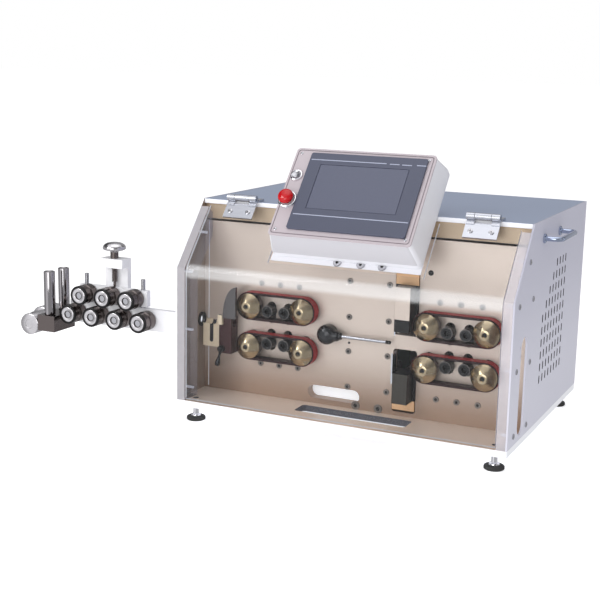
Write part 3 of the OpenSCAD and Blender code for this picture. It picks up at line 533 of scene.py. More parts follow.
def turned(
    name: str, profile: Profile, foot: Vector, axis: Vector, finish: Finish, steps: int = 48
) -> bpy.types.Object:
    """Turn a profile round an axis, as on a lathe.

    Args:
        name: the piece's name.
        profile: pairs of radius and distance along the axis in mm; a ring's first pair comes last too.
        foot: the point on the axis that distances count from.
        axis: the axis direction.
        finish: the finish of the whole piece.
        steps: the number of facets round the axis.

    Returns:
        The new piece, with a map of turns and profile length on its faces.
    """
    along = axis.normalized()
    side = along.orthogonal().normalized()
    across = along.cross(side)
    form = bmesh.new()
    layer = form.loops.layers.uv.new(TURNED_MAP)
    ring_shape = profile[0] == profile[-1] and profile[0][0] > 0.0
    rows: list[list[bmesh.types.BMVert]] = []
    lengths = [0.0]
    for (r0, h0), (r1, h1) in zip(profile, profile[1:]):
        lengths.append(lengths[-1] + math.hypot(r1 - r0, h1 - h0) * MM)
    for radius, height in profile[:-1] if ring_shape else profile:
        middle = foot + along * height * MM
        if radius <= 0.0:
            rows.append([form.verts.new(middle)] * steps)
            continue
        rows.append([
            form.verts.new(middle + (side * math.cos(a) + across * math.sin(a)) * radius * MM)
            for a in (2.0 * math.pi * k / steps for k in range(steps))
        ])
    if ring_shape:
        rows.append(rows[0])
    for row, (low, high) in enumerate(zip(rows, rows[1:])):
        for k in range(steps):
            corners = [(low[k], k, row), (low[(k + 1) % steps], k + 1, row),
                       (high[(k + 1) % steps], k + 1, row + 1), (high[k], k, row + 1)]
            used: list[tuple[bmesh.types.BMVert, int, int]] = []
            for corner in corners:
                if all(corner[0] is not other[0] for other in used):
                    used.append(corner)
            if len(used) < 3:
                continue
            face = form.faces.new([corner[0] for corner in used])
            for loop, corner in zip(face.loops, used):
                loop[layer].uv = (corner[1] / steps, lengths[corner[2]])
    bmesh.ops.recalc_face_normals(form, faces=form.faces)
    mesh = bpy.data.meshes.new(name)
    form.to_mesh(mesh)
    form.free()
    mesh.materials.append(finish.material())
    return smooth(new_piece(name, mesh), 28.0)


def plate_piece(
    name: str, outlines: Sequence[Sequence[tuple[float, float]]], place: Matrix, thick: float,
    finish: Finish, edge: float = 0.0
) -> bpy.types.Object:
    """Extrude an outline with holes into a flat piece.

    Args:
        name: the piece's name.
        outlines: the outer outline and its holes as points in mm.
        place: the matrix that takes the outline's plane to its place.
        thick: the thickness in mm, along the plane's third axis.
        finish: the finish of the whole piece.
        edge: the width of its broken edges in mm.

    Returns:
        The new piece.
    """
    form = bmesh.new()
    rims = []
    for outline in outlines:
        points = [form.verts.new(place @ Vector((x * MM, y * MM, 0.0))) for x, y in outline]
        rims += [form.edges.new((a, b)) for a, b in zip(points, points[1:] + points[:1])]
    bmesh.ops.triangle_fill(form, use_beauty=True, use_dissolve=False, edges=rims)
    lifted = bmesh.ops.extrude_face_region(form, geom=list(form.faces), use_keep_orig=True)
    shift = place.to_3x3() @ Vector((0.0, 0.0, thick * MM))
    bmesh.ops.translate(
        form, vec=shift, verts=[v for v in lifted["geom"] if isinstance(v, bmesh.types.BMVert)]
    )
    bmesh.ops.recalc_face_normals(form, faces=form.faces)
    bmesh.ops.dissolve_limit(form, angle_limit=math.radians(0.5), verts=form.verts, edges=form.edges)
    mesh = bpy.data.meshes.new(name)
    form.to_mesh(mesh)
    form.free()
    mesh.materials.append(finish.material())
    piece = new_piece(name, mesh)
    return break_edges(piece, edge) if edge else smooth(piece, 30.0)


def rounded_outline(wide: float, high: float, corner: float, steps: int = 6) -> list[tuple[float, float]]:
    """Return a rounded rectangle round the origin.

    Args:
        wide: its width in mm.
        high: its height in mm.
        corner: its corner radius in mm.
        steps: the facets of a corner.

    Returns:
        The outline's points in order.
    """
    points = []
    for quarter, (sx, sy) in enumerate([(1, 1), (-1, 1), (-1, -1), (1, -1)]):
        for k in range(steps + 1):
            a = math.pi / 2 * (quarter + k / steps)
            points.append((
                sx * (wide / 2 - corner) + corner * math.cos(a), sy * (high / 2 - corner) + corner * math.sin(a)
            ))
    return points


def joined(name: str, pieces: Sequence[bpy.types.Object]) -> bpy.types.Object:
    """Make one piece of several.

    Args:
        name: the joined piece's name.
        pieces: the pieces that go into it.

    Returns:
        The joined piece.
    """
    with bpy.context.temp_override(
        active_object=pieces[0], object=pieces[0], selected_objects=pieces, selected_editable_objects=pieces
    ):
        bpy.ops.object.join()
    pieces[0].name = name
    pieces[0].data.name = name
    return pieces[0]


class NodeRecipe(Wiring):
    """A Geometry Nodes tree with named sizes, run on a mesh of points or of a path."""

    def __init__(self, name: str, sizes: Iterable[str]) -> None:
        """Start an empty tree.

        Args:
            name: the tree's name.
            sizes: the names of its sizes, given in metres.
        """
        super().__init__(bpy.data.node_groups.new(name, "GeometryNodeTree"))
        sockets = self.tree.interface
        sockets.new_socket("Geometry", in_out="INPUT", socket_type="NodeSocketGeometry")
        kinds = {size: "NodeSocketFloat" for size in sizes} | {
            "Turn": "NodeSocketVector", "Finish": "NodeSocketMaterial", "Socket Shade": "NodeSocketMaterial"
        }
        self.keys = {
            label: sockets.new_socket(label, in_out="INPUT", socket_type=kind).identifier
            for label, kind in kinds.items()
        }
        sockets.new_socket("Geometry", in_out="OUTPUT", socket_type="NodeSocketGeometry")
        self.given = self.tree.nodes.new("NodeGroupInput").outputs
        self.build()

    def build(self) -> None:
        """Lay out the tree; each recipe has its own."""
        raise NotImplementedError

    def scaled(self, socket: bpy.types.NodeSocket, factor: float) -> bpy.types.NodeSocket:
        """Return a socket that gives another one's value times a factor."""
        return self.add("ShaderNodeMath", {"operation": "MULTIPLY"}, (socket, factor)).outputs[0]

    def circle(self, facets: int, size: str) -> bpy.types.NodeSocket:
        """Return a socket that gives a circle with one of the tree's sizes as its radius."""
        return self.add(
            "GeometryNodeCurvePrimitiveCircle", Resolution=facets, Radius=self.given[size]
        ).outputs["Curve"]

    def joined(self, *sockets: bpy.types.NodeSocket) -> bpy.types.NodeSocket:
        """Return a socket that gives several geometries as one."""
        node = self.tree.nodes.new("GeometryNodeJoinGeometry")
        for socket in sockets:
            self.tree.links.new(socket, node.inputs["Geometry"])
        return node.outputs["Geometry"]

    def prism(
        self, outline: bpy.types.NodeSocket, height: bpy.types.NodeSocket, top: float
    ) -> bpy.types.NodeSocket:
        """Fill a flat outline and raise it to a closed prism with a chamfered rim.

        Args:
            outline: the curves of the outline and its holes.
            height: the prism's height.
            top: the scale of its top face against its foot.

        Returns:
            The closed mesh.
        """
        filled = self.add("GeometryNodeFillCurve", Curve=outline).outputs["Mesh"]
        wall = self.add(
            "GeometryNodeExtrudeMesh", Mesh=filled, Offset_Scale=self.scaled(height, 0.75), Individual=False
        )
        rim = self.add(
            "GeometryNodeExtrudeMesh", Mesh=wall.outputs["Mesh"], Selection=wall.outputs["Top"],
            Offset_Scale=self.scaled(height, 0.25), Individual=False,
        )
        cut = self.add(
            "GeometryNodeScaleElements", Geometry=rim.outputs["Mesh"], Selection=rim.outputs["Top"], Scale=top
        )
        foot = self.add("GeometryNodeFlipFaces", Mesh=filled)
        both = self.joined(cut.outputs["Geometry"], foot.outputs["Mesh"])
        return self.add("GeometryNodeMergeByDistance", Geometry=both, Distance=1e-6).outputs["Geometry"]

    def finish(self, geometry: bpy.types.NodeSocket) -> None:
        """End the tree with Realize Instances and Set Material, sockets' floors in black as painted shade."""
        real = self.add("GeometryNodeRealizeInstances", Geometry=geometry).outputs["Geometry"]
        painted = self.add("GeometryNodeSetMaterial", Geometry=real, Material=self.given["Finish"])
        deep = self.add("GeometryNodeInputNamedAttribute", {"data_type": "BOOLEAN"}, Name=SOCKET_MARK)
        dark = self.add(
            "GeometryNodeSetMaterial", Geometry=painted.outputs["Geometry"],
            Selection=deep.outputs["Attribute"], Material=self.given["Socket Shade"],
        )
        end = self.tree.nodes.new("NodeGroupOutput")
        self.tree.links.new(dark.outputs["Geometry"], end.inputs["Geometry"])

    def marked(self, geometry: bpy.types.NodeSocket) -> bpy.types.NodeSocket:
        """Return a socket that gives a geometry with its faces marked as a socket's floor."""
        return self.add(
            "GeometryNodeStoreNamedAttribute", {"data_type": "BOOLEAN", "domain": "FACE"}, Geometry=geometry,
            Name=SOCKET_MARK, Value=True,
        ).outputs["Geometry"]

    def run(
        self, name: str, points: Sequence[Vector], finish: Finish, turn: Euler = Euler(),
        path: bool = False, loop: bool = False, **sizes: float
    ) -> bpy.types.Object:
        """Run the tree on points and return the plain mesh piece.

        Args:
            name: the piece's name.
            points: points in the row frame.
            finish: the finish of the piece.
            turn: how the repeated shape is turned.
            path: whether edges join the points in order.
            loop: whether an edge also joins the last point to the first.
            sizes: the tree's sizes in mm, with spaces written as underscores.

        Returns:
            The new piece.
        """
        edges = [(k, k + 1) for k in range(len(points) - 1)] if path else []
        if loop:
            edges.append((len(points) - 1, 0))
        mesh = bpy.data.meshes.new(name)
        mesh.from_pydata([tuple(p) for p in points], edges, [])
        piece = new_piece(name, mesh)
        modifier = piece.modifiers.new(self.tree.name, "NODES")
        modifier.node_group = self.tree
        modifier[self.keys["Turn"]] = tuple(turn)
        modifier[self.keys["Finish"]] = finish.material()
        modifier[self.keys["Socket Shade"]] = SOCKET_SHADE.material()
        for size, value in sizes.items():
            modifier[self.keys[size.replace("_", " ")]] = value * MM
        return smooth(settle(piece), 35.0)


@dataclass(frozen=True)
class Head:
    """The sizes of a screw's head and its socket in mm."""

    radius: float
    height: float
    socket: float


class CapScrews(NodeRecipe):
    """Cap screws with a hex socket, one on each point, head along the turned Z axis."""

    facets: int = 24
    top_scale: float = 0.93
    floor_share: float = 0.4

    def build(self) -> None:
        """Lay out the head, its socket and the socket's floor."""
        height = self.given["Head Height"]
        key = self.circle(6, "Socket Radius")
        head = self.prism(self.joined(self.circle(self.facets, "Head Radius"), key), height, self.top_scale)
        floor = self.marked(self.prism(key, self.scaled(height, self.floor_share), 1.0))
        self.finish(self.add(
            "GeometryNodeInstanceOnPoints", Points=self.given["Geometry"], Instance=self.joined(head, floor),
            Rotation=self.given["Turn"],
        ).outputs["Instances"])

    def fit(
        self, name: str, points: Sequence[Vector], turn: Euler, head: Head, finish: Finish = TURNED_STEEL
    ) -> bpy.types.Object:
        """Set a screw on each point and return them as one piece.

        Args:
            name: the piece's name.
            points: points in the row frame.
            turn: how the heads are turned.
            head: their sizes.
            finish: their finish.

        Returns:
            The new piece.
        """
        return self.run(
            name, points, finish, turn, Head_Radius=head.radius, Head_Height=head.height,
            Socket_Radius=head.socket,
        )


class ButtonScrews(CapScrews):
    """Low domed screw heads with a small socket, one on each point."""

    facets: int = 20
    top_scale: float = 0.72
    floor_share: float = 0.3


class BentTube(NodeRecipe):
    """A round bar along a path with rounded corners."""

    def build(self) -> None:
        """Round the path's corners and sweep the bar along it."""
        path = self.add("GeometryNodeMeshToCurve", Mesh=self.given["Geometry"])
        soft = self.add(
            "GeometryNodeFilletCurve", {"mode": "POLY"}, Curve=path.outputs["Curve"], Count=8,
            Radius=self.given["Bend Radius"], Limit_Radius=True,
        )
        self.finish(self.add(
            "GeometryNodeCurveToMesh", Curve=soft.outputs["Curve"], Profile_Curve=self.circle(24, "Bar Radius"),
            Fill_Caps=True,
        ).outputs["Mesh"])


SCREW_SIZES = ("Head Radius", "Head Height", "Socket Radius")
FACING_FRONT = Euler((math.pi / 2, 0.0, 0.0))
FACING_RIGHT = Euler((0.0, math.pi / 2, 0.0))
FACING_LEFT = Euler((0.0, -math.pi / 2, 0.0))


def on_front(x: float, y: float, z: float) -> Matrix:
    """Return the matrix of a plane that faces the front at a point in machine mm."""
    return Matrix.Translation(spot(x, y, z)) @ FACING_FRONT.to_matrix().to_4x4()


@dataclass
class Recipes:
    """The Geometry Nodes trees that the sub-assemblies share."""

    cap_screws: CapScrews
    button_screws: ButtonScrews
    bent_tube: BentTube

    @classmethod
    def make(cls) -> "Recipes":
        """Build every tree once."""
        return cls(
            CapScrews("cap_screws", SCREW_SIZES),
            ButtonScrews("button_screws", SCREW_SIZES),
            BentTube("bent_tube", ("Bar Radius", "Bend Radius")),
        )


@dataclass
class Housing:
    """The painted sheet housing with its plate, feet, handles, strips and power inlet, in mm."""

    recipes: Recipes
    width: float = 590.0
    plate_front: float = 96.0
    band_foot: float = 345.0
    foot_radius: float = 16.5
    foot_height: float = 28.0
    stud_radius: float = 5.0
    handle_radius: float = 4.0
    handle_reach: float = 28.0
    handle_bend: float = 11.0
    panel_screws: tuple[tuple[float, float], ...] = (
        (76, 295), (26, 233), (28, 131), (31, 27), (106, 232), (106, 130), (106, 26)
    )
    panel_head: Head = Head(4.6, 1.8, 1.9)
    large_screws: tuple[tuple[float, float], ...] = ((298, 18), (339, 18))
    large_head: Head = Head(7.6, 1.6, 4.18)
    small_head: Head = Head(5.2, 1.6, 2.86)
    shank_count: int = 4
    strip_start: float = 18.0
    vent_depths: tuple[float, float] = (130.0, 440.0)
    vent_heights: tuple[float, float] = (30.0, 330.0)
    floor_top: float = 12.0

    def build(self) -> None:
        """Build every piece of the housing."""
        self.build_sheets()
        self.build_plate()
        self.build_handles()
        self.build_feet()
        dress("power_inlet", "housing", "socket_plastic", 0.4, [INLET_BLACK])
        keep("drive_motors", MOTOR_BLACK)
        keep("control_electronics", BOARD_GREEN)

    def build_sheets(self) -> None:
        """Build the panels, the base, the top with its lip and band, and the clear strips."""
        for side, inward in (("left", 1.0), ("right", -1.0)):
            dress(side + "_side_panel", "housing", "panel_paint", 0.7,
                  [PANEL_PAINT, INNER_TAN, LIP_WHITE_AND_HIGHLIGHT, VENT_SHADE], self.panel_rule(inward))
        dress("rear_panel", "housing", "panel_paint", 0.7, [PANEL_PAINT])
        dress("base_plate", "housing", "base_paint", 1.0, [LIP_WHITE_AND_HIGHLIGHT, FLOOR_TAN, WINDOW_GLOW, VENT_SHADE],
              self.base_finish)
        dress("top_panel", "housing", "top_paint", 1.2, [TOP_PAINT, LIP_WHITE_AND_HIGHLIGHT, BAND_BRONZE_AND_SHADE], self.top_finish)
        # the strips' front faces take the painted highlight
        dress("cover_side_strips", "housing", "clear_plastic", 0.6, [CLEAR_STRIP, STRIP_FRONT_HIGHLIGHT],
              lambda centre, normal: int(normal.y < -0.5))
        for side, x, turn in (("left", 0.0, FACING_LEFT), ("right", self.width, FACING_RIGHT)):
            points = [spot(x, y, z) for y, z in self.panel_screws]
            heads = self.recipes.button_screws.fit(side + "_panel_screws", points, turn, self.panel_head)
            seat(heads, "housing", "chrome")
        self.build_shanks()

    def panel_rule(self, inward: float) -> FaceRule:
        """Return the rule for a side panel's faces: paint, tan inside, the left front edge in white as a
        painted highlight, or vent walls in painted shade.
        """
        def rule(centre: Vector, normal: Vector) -> int:
            """Return the finish number of a face of this panel."""
            if abs(normal.x) > 0.5:
                return int(normal.x * inward > 0.9)
            (near, far), (low, high) = self.vent_depths, self.vent_heights
            # vent walls take painted shade
            if near < centre.y < far and low < centre.z < high:
                return 3
            # the left panel's front edge is white as a painted highlight
            return 2 if normal.y < -0.5 and inward > 0.0 else 0
        return rule

    def base_finish(self, centre: Vector, normal: Vector) -> int:
        """Return the finish number of a face of the base: rim, bay floor, the window's sheet that glows as
        painted light, or a slot wall in painted shade.
        """
        # faces above the bay floor are the window's sheet, glowing as painted light
        if centre.z > self.floor_top:
            return 2
        if normal.z > 0.9:
            return 1
        inside = 15.0 < centre.x < self.width - 15.0 and 4.0 < centre.y < self.plate_front
        # slot walls in the bay take painted shade
        return 3 if inside and abs(normal.z) < 0.5 else 0

    def top_finish(self, centre: Vector, normal: Vector) -> int:
        """Return the finish number of a face of the top panel: top, the lip in white as a painted highlight, or
        the band in bronze darkened as painted shade.
        """
        if centre.y < self.plate_front and centre.z > self.band_foot - 3.0:
            # the lip's front faces take the white painted highlight
            return 1 if normal.z < 0.9 else 0
        # the band takes its bronze darkened as painted shade
        return 2 if centre.z < self.band_foot and abs(normal.y) > 0.5 else 0

    def build_shanks(self) -> None:
        """Build the screw shanks that cross the clear strips."""
        starts = (machine_box("cover_side_strips")[0].x, self.width - self.strip_start)
        shape = [(0, 0.2), (2.4, 0.2), (2.4, 14.8), (0, 14.8)]
        shanks = [
            turned("shank", shape, spot(x, y, z), RIGHT, LIP_WHITE_AND_HIGHLIGHT, 16)
            for x in starts for y, z in self.panel_screws[:self.shank_count]
        ]
        seat(joined("strip_screw_shanks", shanks), "housing", "chrome")

    def build_plate(self) -> None:
        """Build the mechanism plate with its cap screws, two holes shown as black discs of painted shade, and a
        thin white strip at its left edge as a painted highlight.
        """
        dress("mechanism_plate", "housing", "plate_metal", 0.8, [PLATE_METAL])
        small = [(x, z) for x in (282, 353) for z in (232, 170.5, 111, 49)]
        small += [(x, z) for x in (440.5, 476, 512) for z in (212, 49)]
        small += [(x, z) for x in (116, 152, 188) for z in (69, 212)]
        for label, places, head in (
            ("large", self.large_screws, self.large_head), ("small", small, self.small_head)
        ):
            points = [spot(x, self.plate_front, z) for x, z in places]
            name = label + "_plate_screws"
            heads = self.recipes.cap_screws.fit(name, points, FACING_FRONT, head, SCREW_STEEL)
            seat(heads, "housing", "plate_metal")
        # two holes drawn as black discs: painted shade of their depth
        tapped = [(0, 0), (4.6, 0), (4.6, 0.3), (3.6, 0.3), (3.4, 0.1), (0, 0.1)]
        plain = [(0, 0), (2.2, 0), (2.2, 0.15), (0, 0.15)]
        holes = [
            turned("plate_hole", shape, spot(x, self.plate_front, z), FRONT, SOCKET_SHADE, steps)
            for shape, x, z, steps in ((tapped, 423, 259, 24), (plain, 282.7, 125.7, 20))
        ]
        seat(joined("plate_holes", holes), "housing", "plate_metal")
        # a thin white strip at the plate's left edge: painted highlight
        highlight_strip = plate_piece(
            "plate_edge_highlight_strip", [rounded_outline(1.3, 298.0, 0.4)], on_front(11.0, self.plate_front, 164.0), 0.4,
            LIP_WHITE_AND_HIGHLIGHT,
        )
        seat(highlight_strip, "housing", "plate_metal")

    def build_handles(self) -> None:
        """Build the two bent carry handles with their roses."""
        low, high = machine_box("carry_handles")
        z = (low.z + high.z) / 2.0
        posts = (low.y + 2.0 * self.handle_radius, high.y - 2.0 * self.handle_radius)
        rose = [(0, 0), (7.8, 0), (7.8, 2.4), (6.6, 3.6), (4.0, 4.0), (0, 4.0)]
        parts = []
        for wall, out in ((0.0, -RIGHT), (self.width, RIGHT)):
            reach = wall + out.x * self.handle_reach
            path = [(wall, posts[0]), (reach, posts[0]), (reach, posts[1]), (wall, posts[1])]
            parts.append(self.recipes.bent_tube.run(
                "handle", [spot(x, y, z) for x, y in path], HANDLE_CHROME, path=True,
                Bar_Radius=self.handle_radius, Bend_Radius=self.handle_bend,
            ))
            parts += [turned("rose", rose, spot(wall, y, z), out, HANDLE_CHROME, 32) for y in posts]
        seat(joined("carry_handles_dressed", parts), "housing", "chrome", "carry_handles")

    def build_feet(self) -> None:
        """Build the levelling feet: rubber pad, chrome stud and lock nut."""
        low, high = machine_box("levelling_feet")
        r, s, top = self.foot_radius, self.stud_radius, self.foot_height
        pad = [(0, 0), (r - 1.2, 0), (r, 1.2), (r, 4.6), (r - 1.0, 6.0), (r - 5, 7.8), (0, 8)]
        stud = [(0, 8), (9, 8), (8.4, 9.6), (s, 11), (s, top + 8), (0, top + 8)]
        nut = [(0, top - 6), (8.8, top - 6), (10, top - 5), (10, top - 1), (8.8, top), (0, top)]
        parts = []
        for x in (low.x + r, high.x - r):
            for y in (low.y + r, high.y - r):
                foot = spot(x, y, -top)
                parts += [
                    turned("pad", pad, foot, UP, RUBBER), turned("stud", stud, foot, UP, CHROME, 32),
                    turned("nut", nut, foot, UP, CHROME, 6),
                ]
        seat(joined("levelling_feet_dressed", parts), "housing", "foot_rubber", "levelling_feet")


@dataclass(frozen=True)
class Slope:
    """The slope of the machine's front above its knee, with its lean from upright."""

    knee: float = 243.0
    lean: float = math.atan2(92.0, 109.0)

    def place(self, x: float, u: float, v: float) -> Matrix:
        """Return the matrix of a point on the slope, with X across, Y up the slope and Z out of it."""
        back, rise = math.sin(self.lean), math.cos(self.lean)
        point = spot(x, u * back - v * rise, self.knee + u * rise + v * back)
        axes = Matrix(((1, 0, 0), (0, back, -rise), (0, rise, back))).to_4x4()
        return Matrix.Translation(point) @ axes

    def seen_from(self, x: float, u: float, v: float, centre: Vector) -> Vector:
        """Return a machine point in mm along the slope's axes from a point on the slope."""
        return self.place(x, u, v).inverted() @ spot(*centre) / MM


SLOPE = Slope()
SLOPE_TURN = SLOPE.place(0, 0, 0).to_euler()


@dataclass
class Cover:
    """The bent clear cover with its hinges, in mm."""

    recipes: Recipes
    hinges: tuple[float, float] = (81.0, 509.0)
    leaf_u: float = 119.0
    leaf_top: float = 3.5
    screw_half: float = 17.0
    leaf_head: Head = Head(4.2, 1.6, 1.8)

    def build(self) -> None:
        """Build the sheet, the hinge leaves and the hinge bases."""
        # the cover's edge faces take the painted highlight
        dress("cover_sheet", "cover", "clear_plastic", 0.6, [CLEAR, CLEAR_EDGE_HIGHLIGHT],
              lambda centre, normal: int(abs(normal.x) > 0.9 or normal.z < -0.9))
        dress("cover_hinge_leaves", "cover", "chrome", 0.5, [HINGE_STEEL])
        dress("cover_hinge_bases", "housing", "chrome", 0.5, [HINGE_STEEL])
        points = [
            SLOPE.place(x + side * self.screw_half, self.leaf_u, self.leaf_top).translation
            for x in self.hinges for side in (-1, 1)
        ]
        heads = self.recipes.button_screws.fit("hinge_leaf_screws", points, SLOPE_TURN, self.leaf_head)
        seat(heads, "cover", "chrome")


@dataclass
class Pod:
    """The touchscreen pod on the slope, sized in mm along the slope's own axes."""

    recipes: Recipes
    front: float = 55.0
    middle_x: float = 301.0
    width: float = 246.0
    low_u: float = 49.0
    height: float = 173.0
    screen_x: float = 310.5
    switch_x: float = 193.0
    estop_u: float = 117.0
    start_u: float = 166.0
    screen_u: float = 136.5
    bezel_top: float = 59.0
    display: tuple[float, float] = (154.0, 86.0)
    display_shift: tuple[float, float] = (-2.0, 9.0)
    lip: float = 12.5
    flange_u: float = 38.5
    flange_half: float = 6.5
    flange_width: float = 262.0
    flange_foot: float = 0.25
    flange_v: float = 1.9
    flange_screws: tuple[float, ...] = (288.7, 329.4, 366.2)
    flange_head: Head = Head(7.0, 2.2, 3.0)
    face_inset: float = 11.0
    face_head: Head = Head(2.6, 1.2, 1.1)
    bezel_bars: tuple[tuple[float, float, float], ...] = (
        (278.3, 197.5, 133.0), (358.7, 197.0, 17.0), (380.0, 196.8, 17.0), (404.4, 197.4, 16.0),
        (311.7, 89.3, 198.0)
    )

    def build(self) -> None:
        """Build the pod's housing, face, screen and switches."""
        dress("pod_housing", "housing", "pod_paint", 1.6, [POD_WHITE, POD_UNDER_SHADE], self.shell_finish)
        dress("pod_bracket", "housing", "pod_paint", 0.8, [POD_WHITE])
        dress("pod_face", "housing", "pod_face_paint", 0.7, [POD_FACE])
        self.build_flange()
        self.build_face_line()
        self.build_screen()
        self.build_switches()

    def shell_finish(self, centre: Vector, normal: Vector) -> int:
        """Return the finish number of a face of the shell: white, or the underside in a greyer white as painted
        shade.
        """
        place = SLOPE.seen_from(self.middle_x, self.low_u, 0, centre)
        return int(normal.z < -0.5 and place.z > self.lip)

    def build_flange(self) -> None:
        """Build the white flange under the pod's lower edge and the screws along it."""
        low, high = self.flange_u - self.flange_half, self.low_u + 3.0
        flange = plate_piece(
            "pod_flange", [rounded_outline(self.flange_width, high - low, 1.0)],
            SLOPE.place(self.middle_x, (low + high) / 2.0, self.flange_foot), self.flange_v - self.flange_foot,
            POD_WHITE, 0.3,
        )
        seat(flange, "housing", "pod_paint")
        points = [SLOPE.place(x, self.flange_u, self.flange_v).translation for x in self.flange_screws]
        heads = self.recipes.cap_screws.fit("flange_screws", points, SLOPE_TURN, self.flange_head)
        seat(heads, "housing", "chrome")

    def build_face_line(self) -> None:
        """Build the fine frame line and the corner screws of the face."""
        middle_u = self.low_u + self.height / 2.0
        rings = [
            rounded_outline(self.width - cut, self.height - cut, corner) for cut, corner in ((7, 5), (10, 4))
        ]
        line = plate_piece(
            "pod_face_line", rings, SLOPE.place(self.middle_x, middle_u, self.front), 0.25, FACE_LINE
        )
        seat(line, "housing", "pod_face_paint")
        half_x, half_u = self.width / 2 - self.face_inset, self.height / 2 - self.face_inset
        corners = [
            SLOPE.place(self.middle_x + sx * half_x, middle_u + su * half_u, self.front).translation
            for sx in (-1, 1) for su in (-1, 1)
        ]
        heads = self.recipes.button_screws.fit("pod_face_screws", corners, SLOPE_TURN, self.face_head)
        seat(heads, "housing", "chrome")

    def build_screen(self) -> None:
        """Build the bezel, the display and the plain bars at the bezel's edges."""
        dress("touchscreen", "housing", "screen_plastic", 0.8, [SLATE, DISPLAY], self.screen_finish)
        bars = [
            plate_piece(
                "bar", [rounded_outline(wide, 1.6, 0.7, 2)], SLOPE.place(x, u, self.bezel_top), 0.2, PALE_LINE
            )
            for x, u, wide in self.bezel_bars
        ]
        seat(joined("bezel_bars", bars), "housing", "screen_plastic")

    def screen_finish(self, centre: Vector, normal: Vector) -> int:
        """Return the finish number of a face of the screen: bezel or display."""
        place = SLOPE.seen_from(self.screen_x, self.screen_u, self.front, centre)
        (wide, high), (right, up) = self.display, self.display_shift
        in_glass = abs(place.x - right) < wide / 2 + 0.1 and abs(place.y - up) < high / 2 + 0.1
        return int(in_glass and place.z < self.bezel_top - self.front - 0.1)

    def build_switches(self) -> None:
        """Build the emergency stop, the start switch and their collars."""
        out = SLOPE.place(0, 0, 0).to_3x3() @ UP
        stop, start = (
            SLOPE.place(self.switch_x, u, self.front).translation for u in (self.estop_u, self.start_u)
        )
        head = [
            (0, -10), (7, -10), (7, 8.2), (11.6, 8.6), (12.8, 9.4), (13, 10.6), (13, 12.6), (12.4, 14.6),
            (11, 16.4), (9, 17.8), (6.4, 18.8), (3.2, 19.3), (0, 19.45)
        ]
        button = turned("estop_button_dressed", head, stop, out, RED_GLOSS)
        seat(button, "estop_button", "estop_plastic", "estop_button")
        push = [(0, -10), (7, -10), (7, 4.6), (6.6, 5.5), (6.0, 5.9), (5.2, 5.6), (3.0, 5.1), (0, 5.0)]
        switch = turned("start_switch_dressed", push, start, out, TURNED_STEEL)
        seat(switch, "start_switch", "switch_metal", "start_switch")
        ring = [(8.2, 0.05), (11, 0.05), (11, 1.2), (10.2, 2.4), (8.8, 2.8), (8.2, 2.4), (8.2, 0.05)]
        guard = [(13.5, 0.05), (16.2, 0.05), (16.2, 2.4), (15.2, 4.2), (14.2, 4.5), (13.5, 3.8), (13.5, 0.05)]
        collars = [
            turned("collar", shape, point, out, CHROME) for shape, point in ((ring, start), (guard, stop))
        ]
        seat(joined("switch_collars", collars), "housing", "chrome")


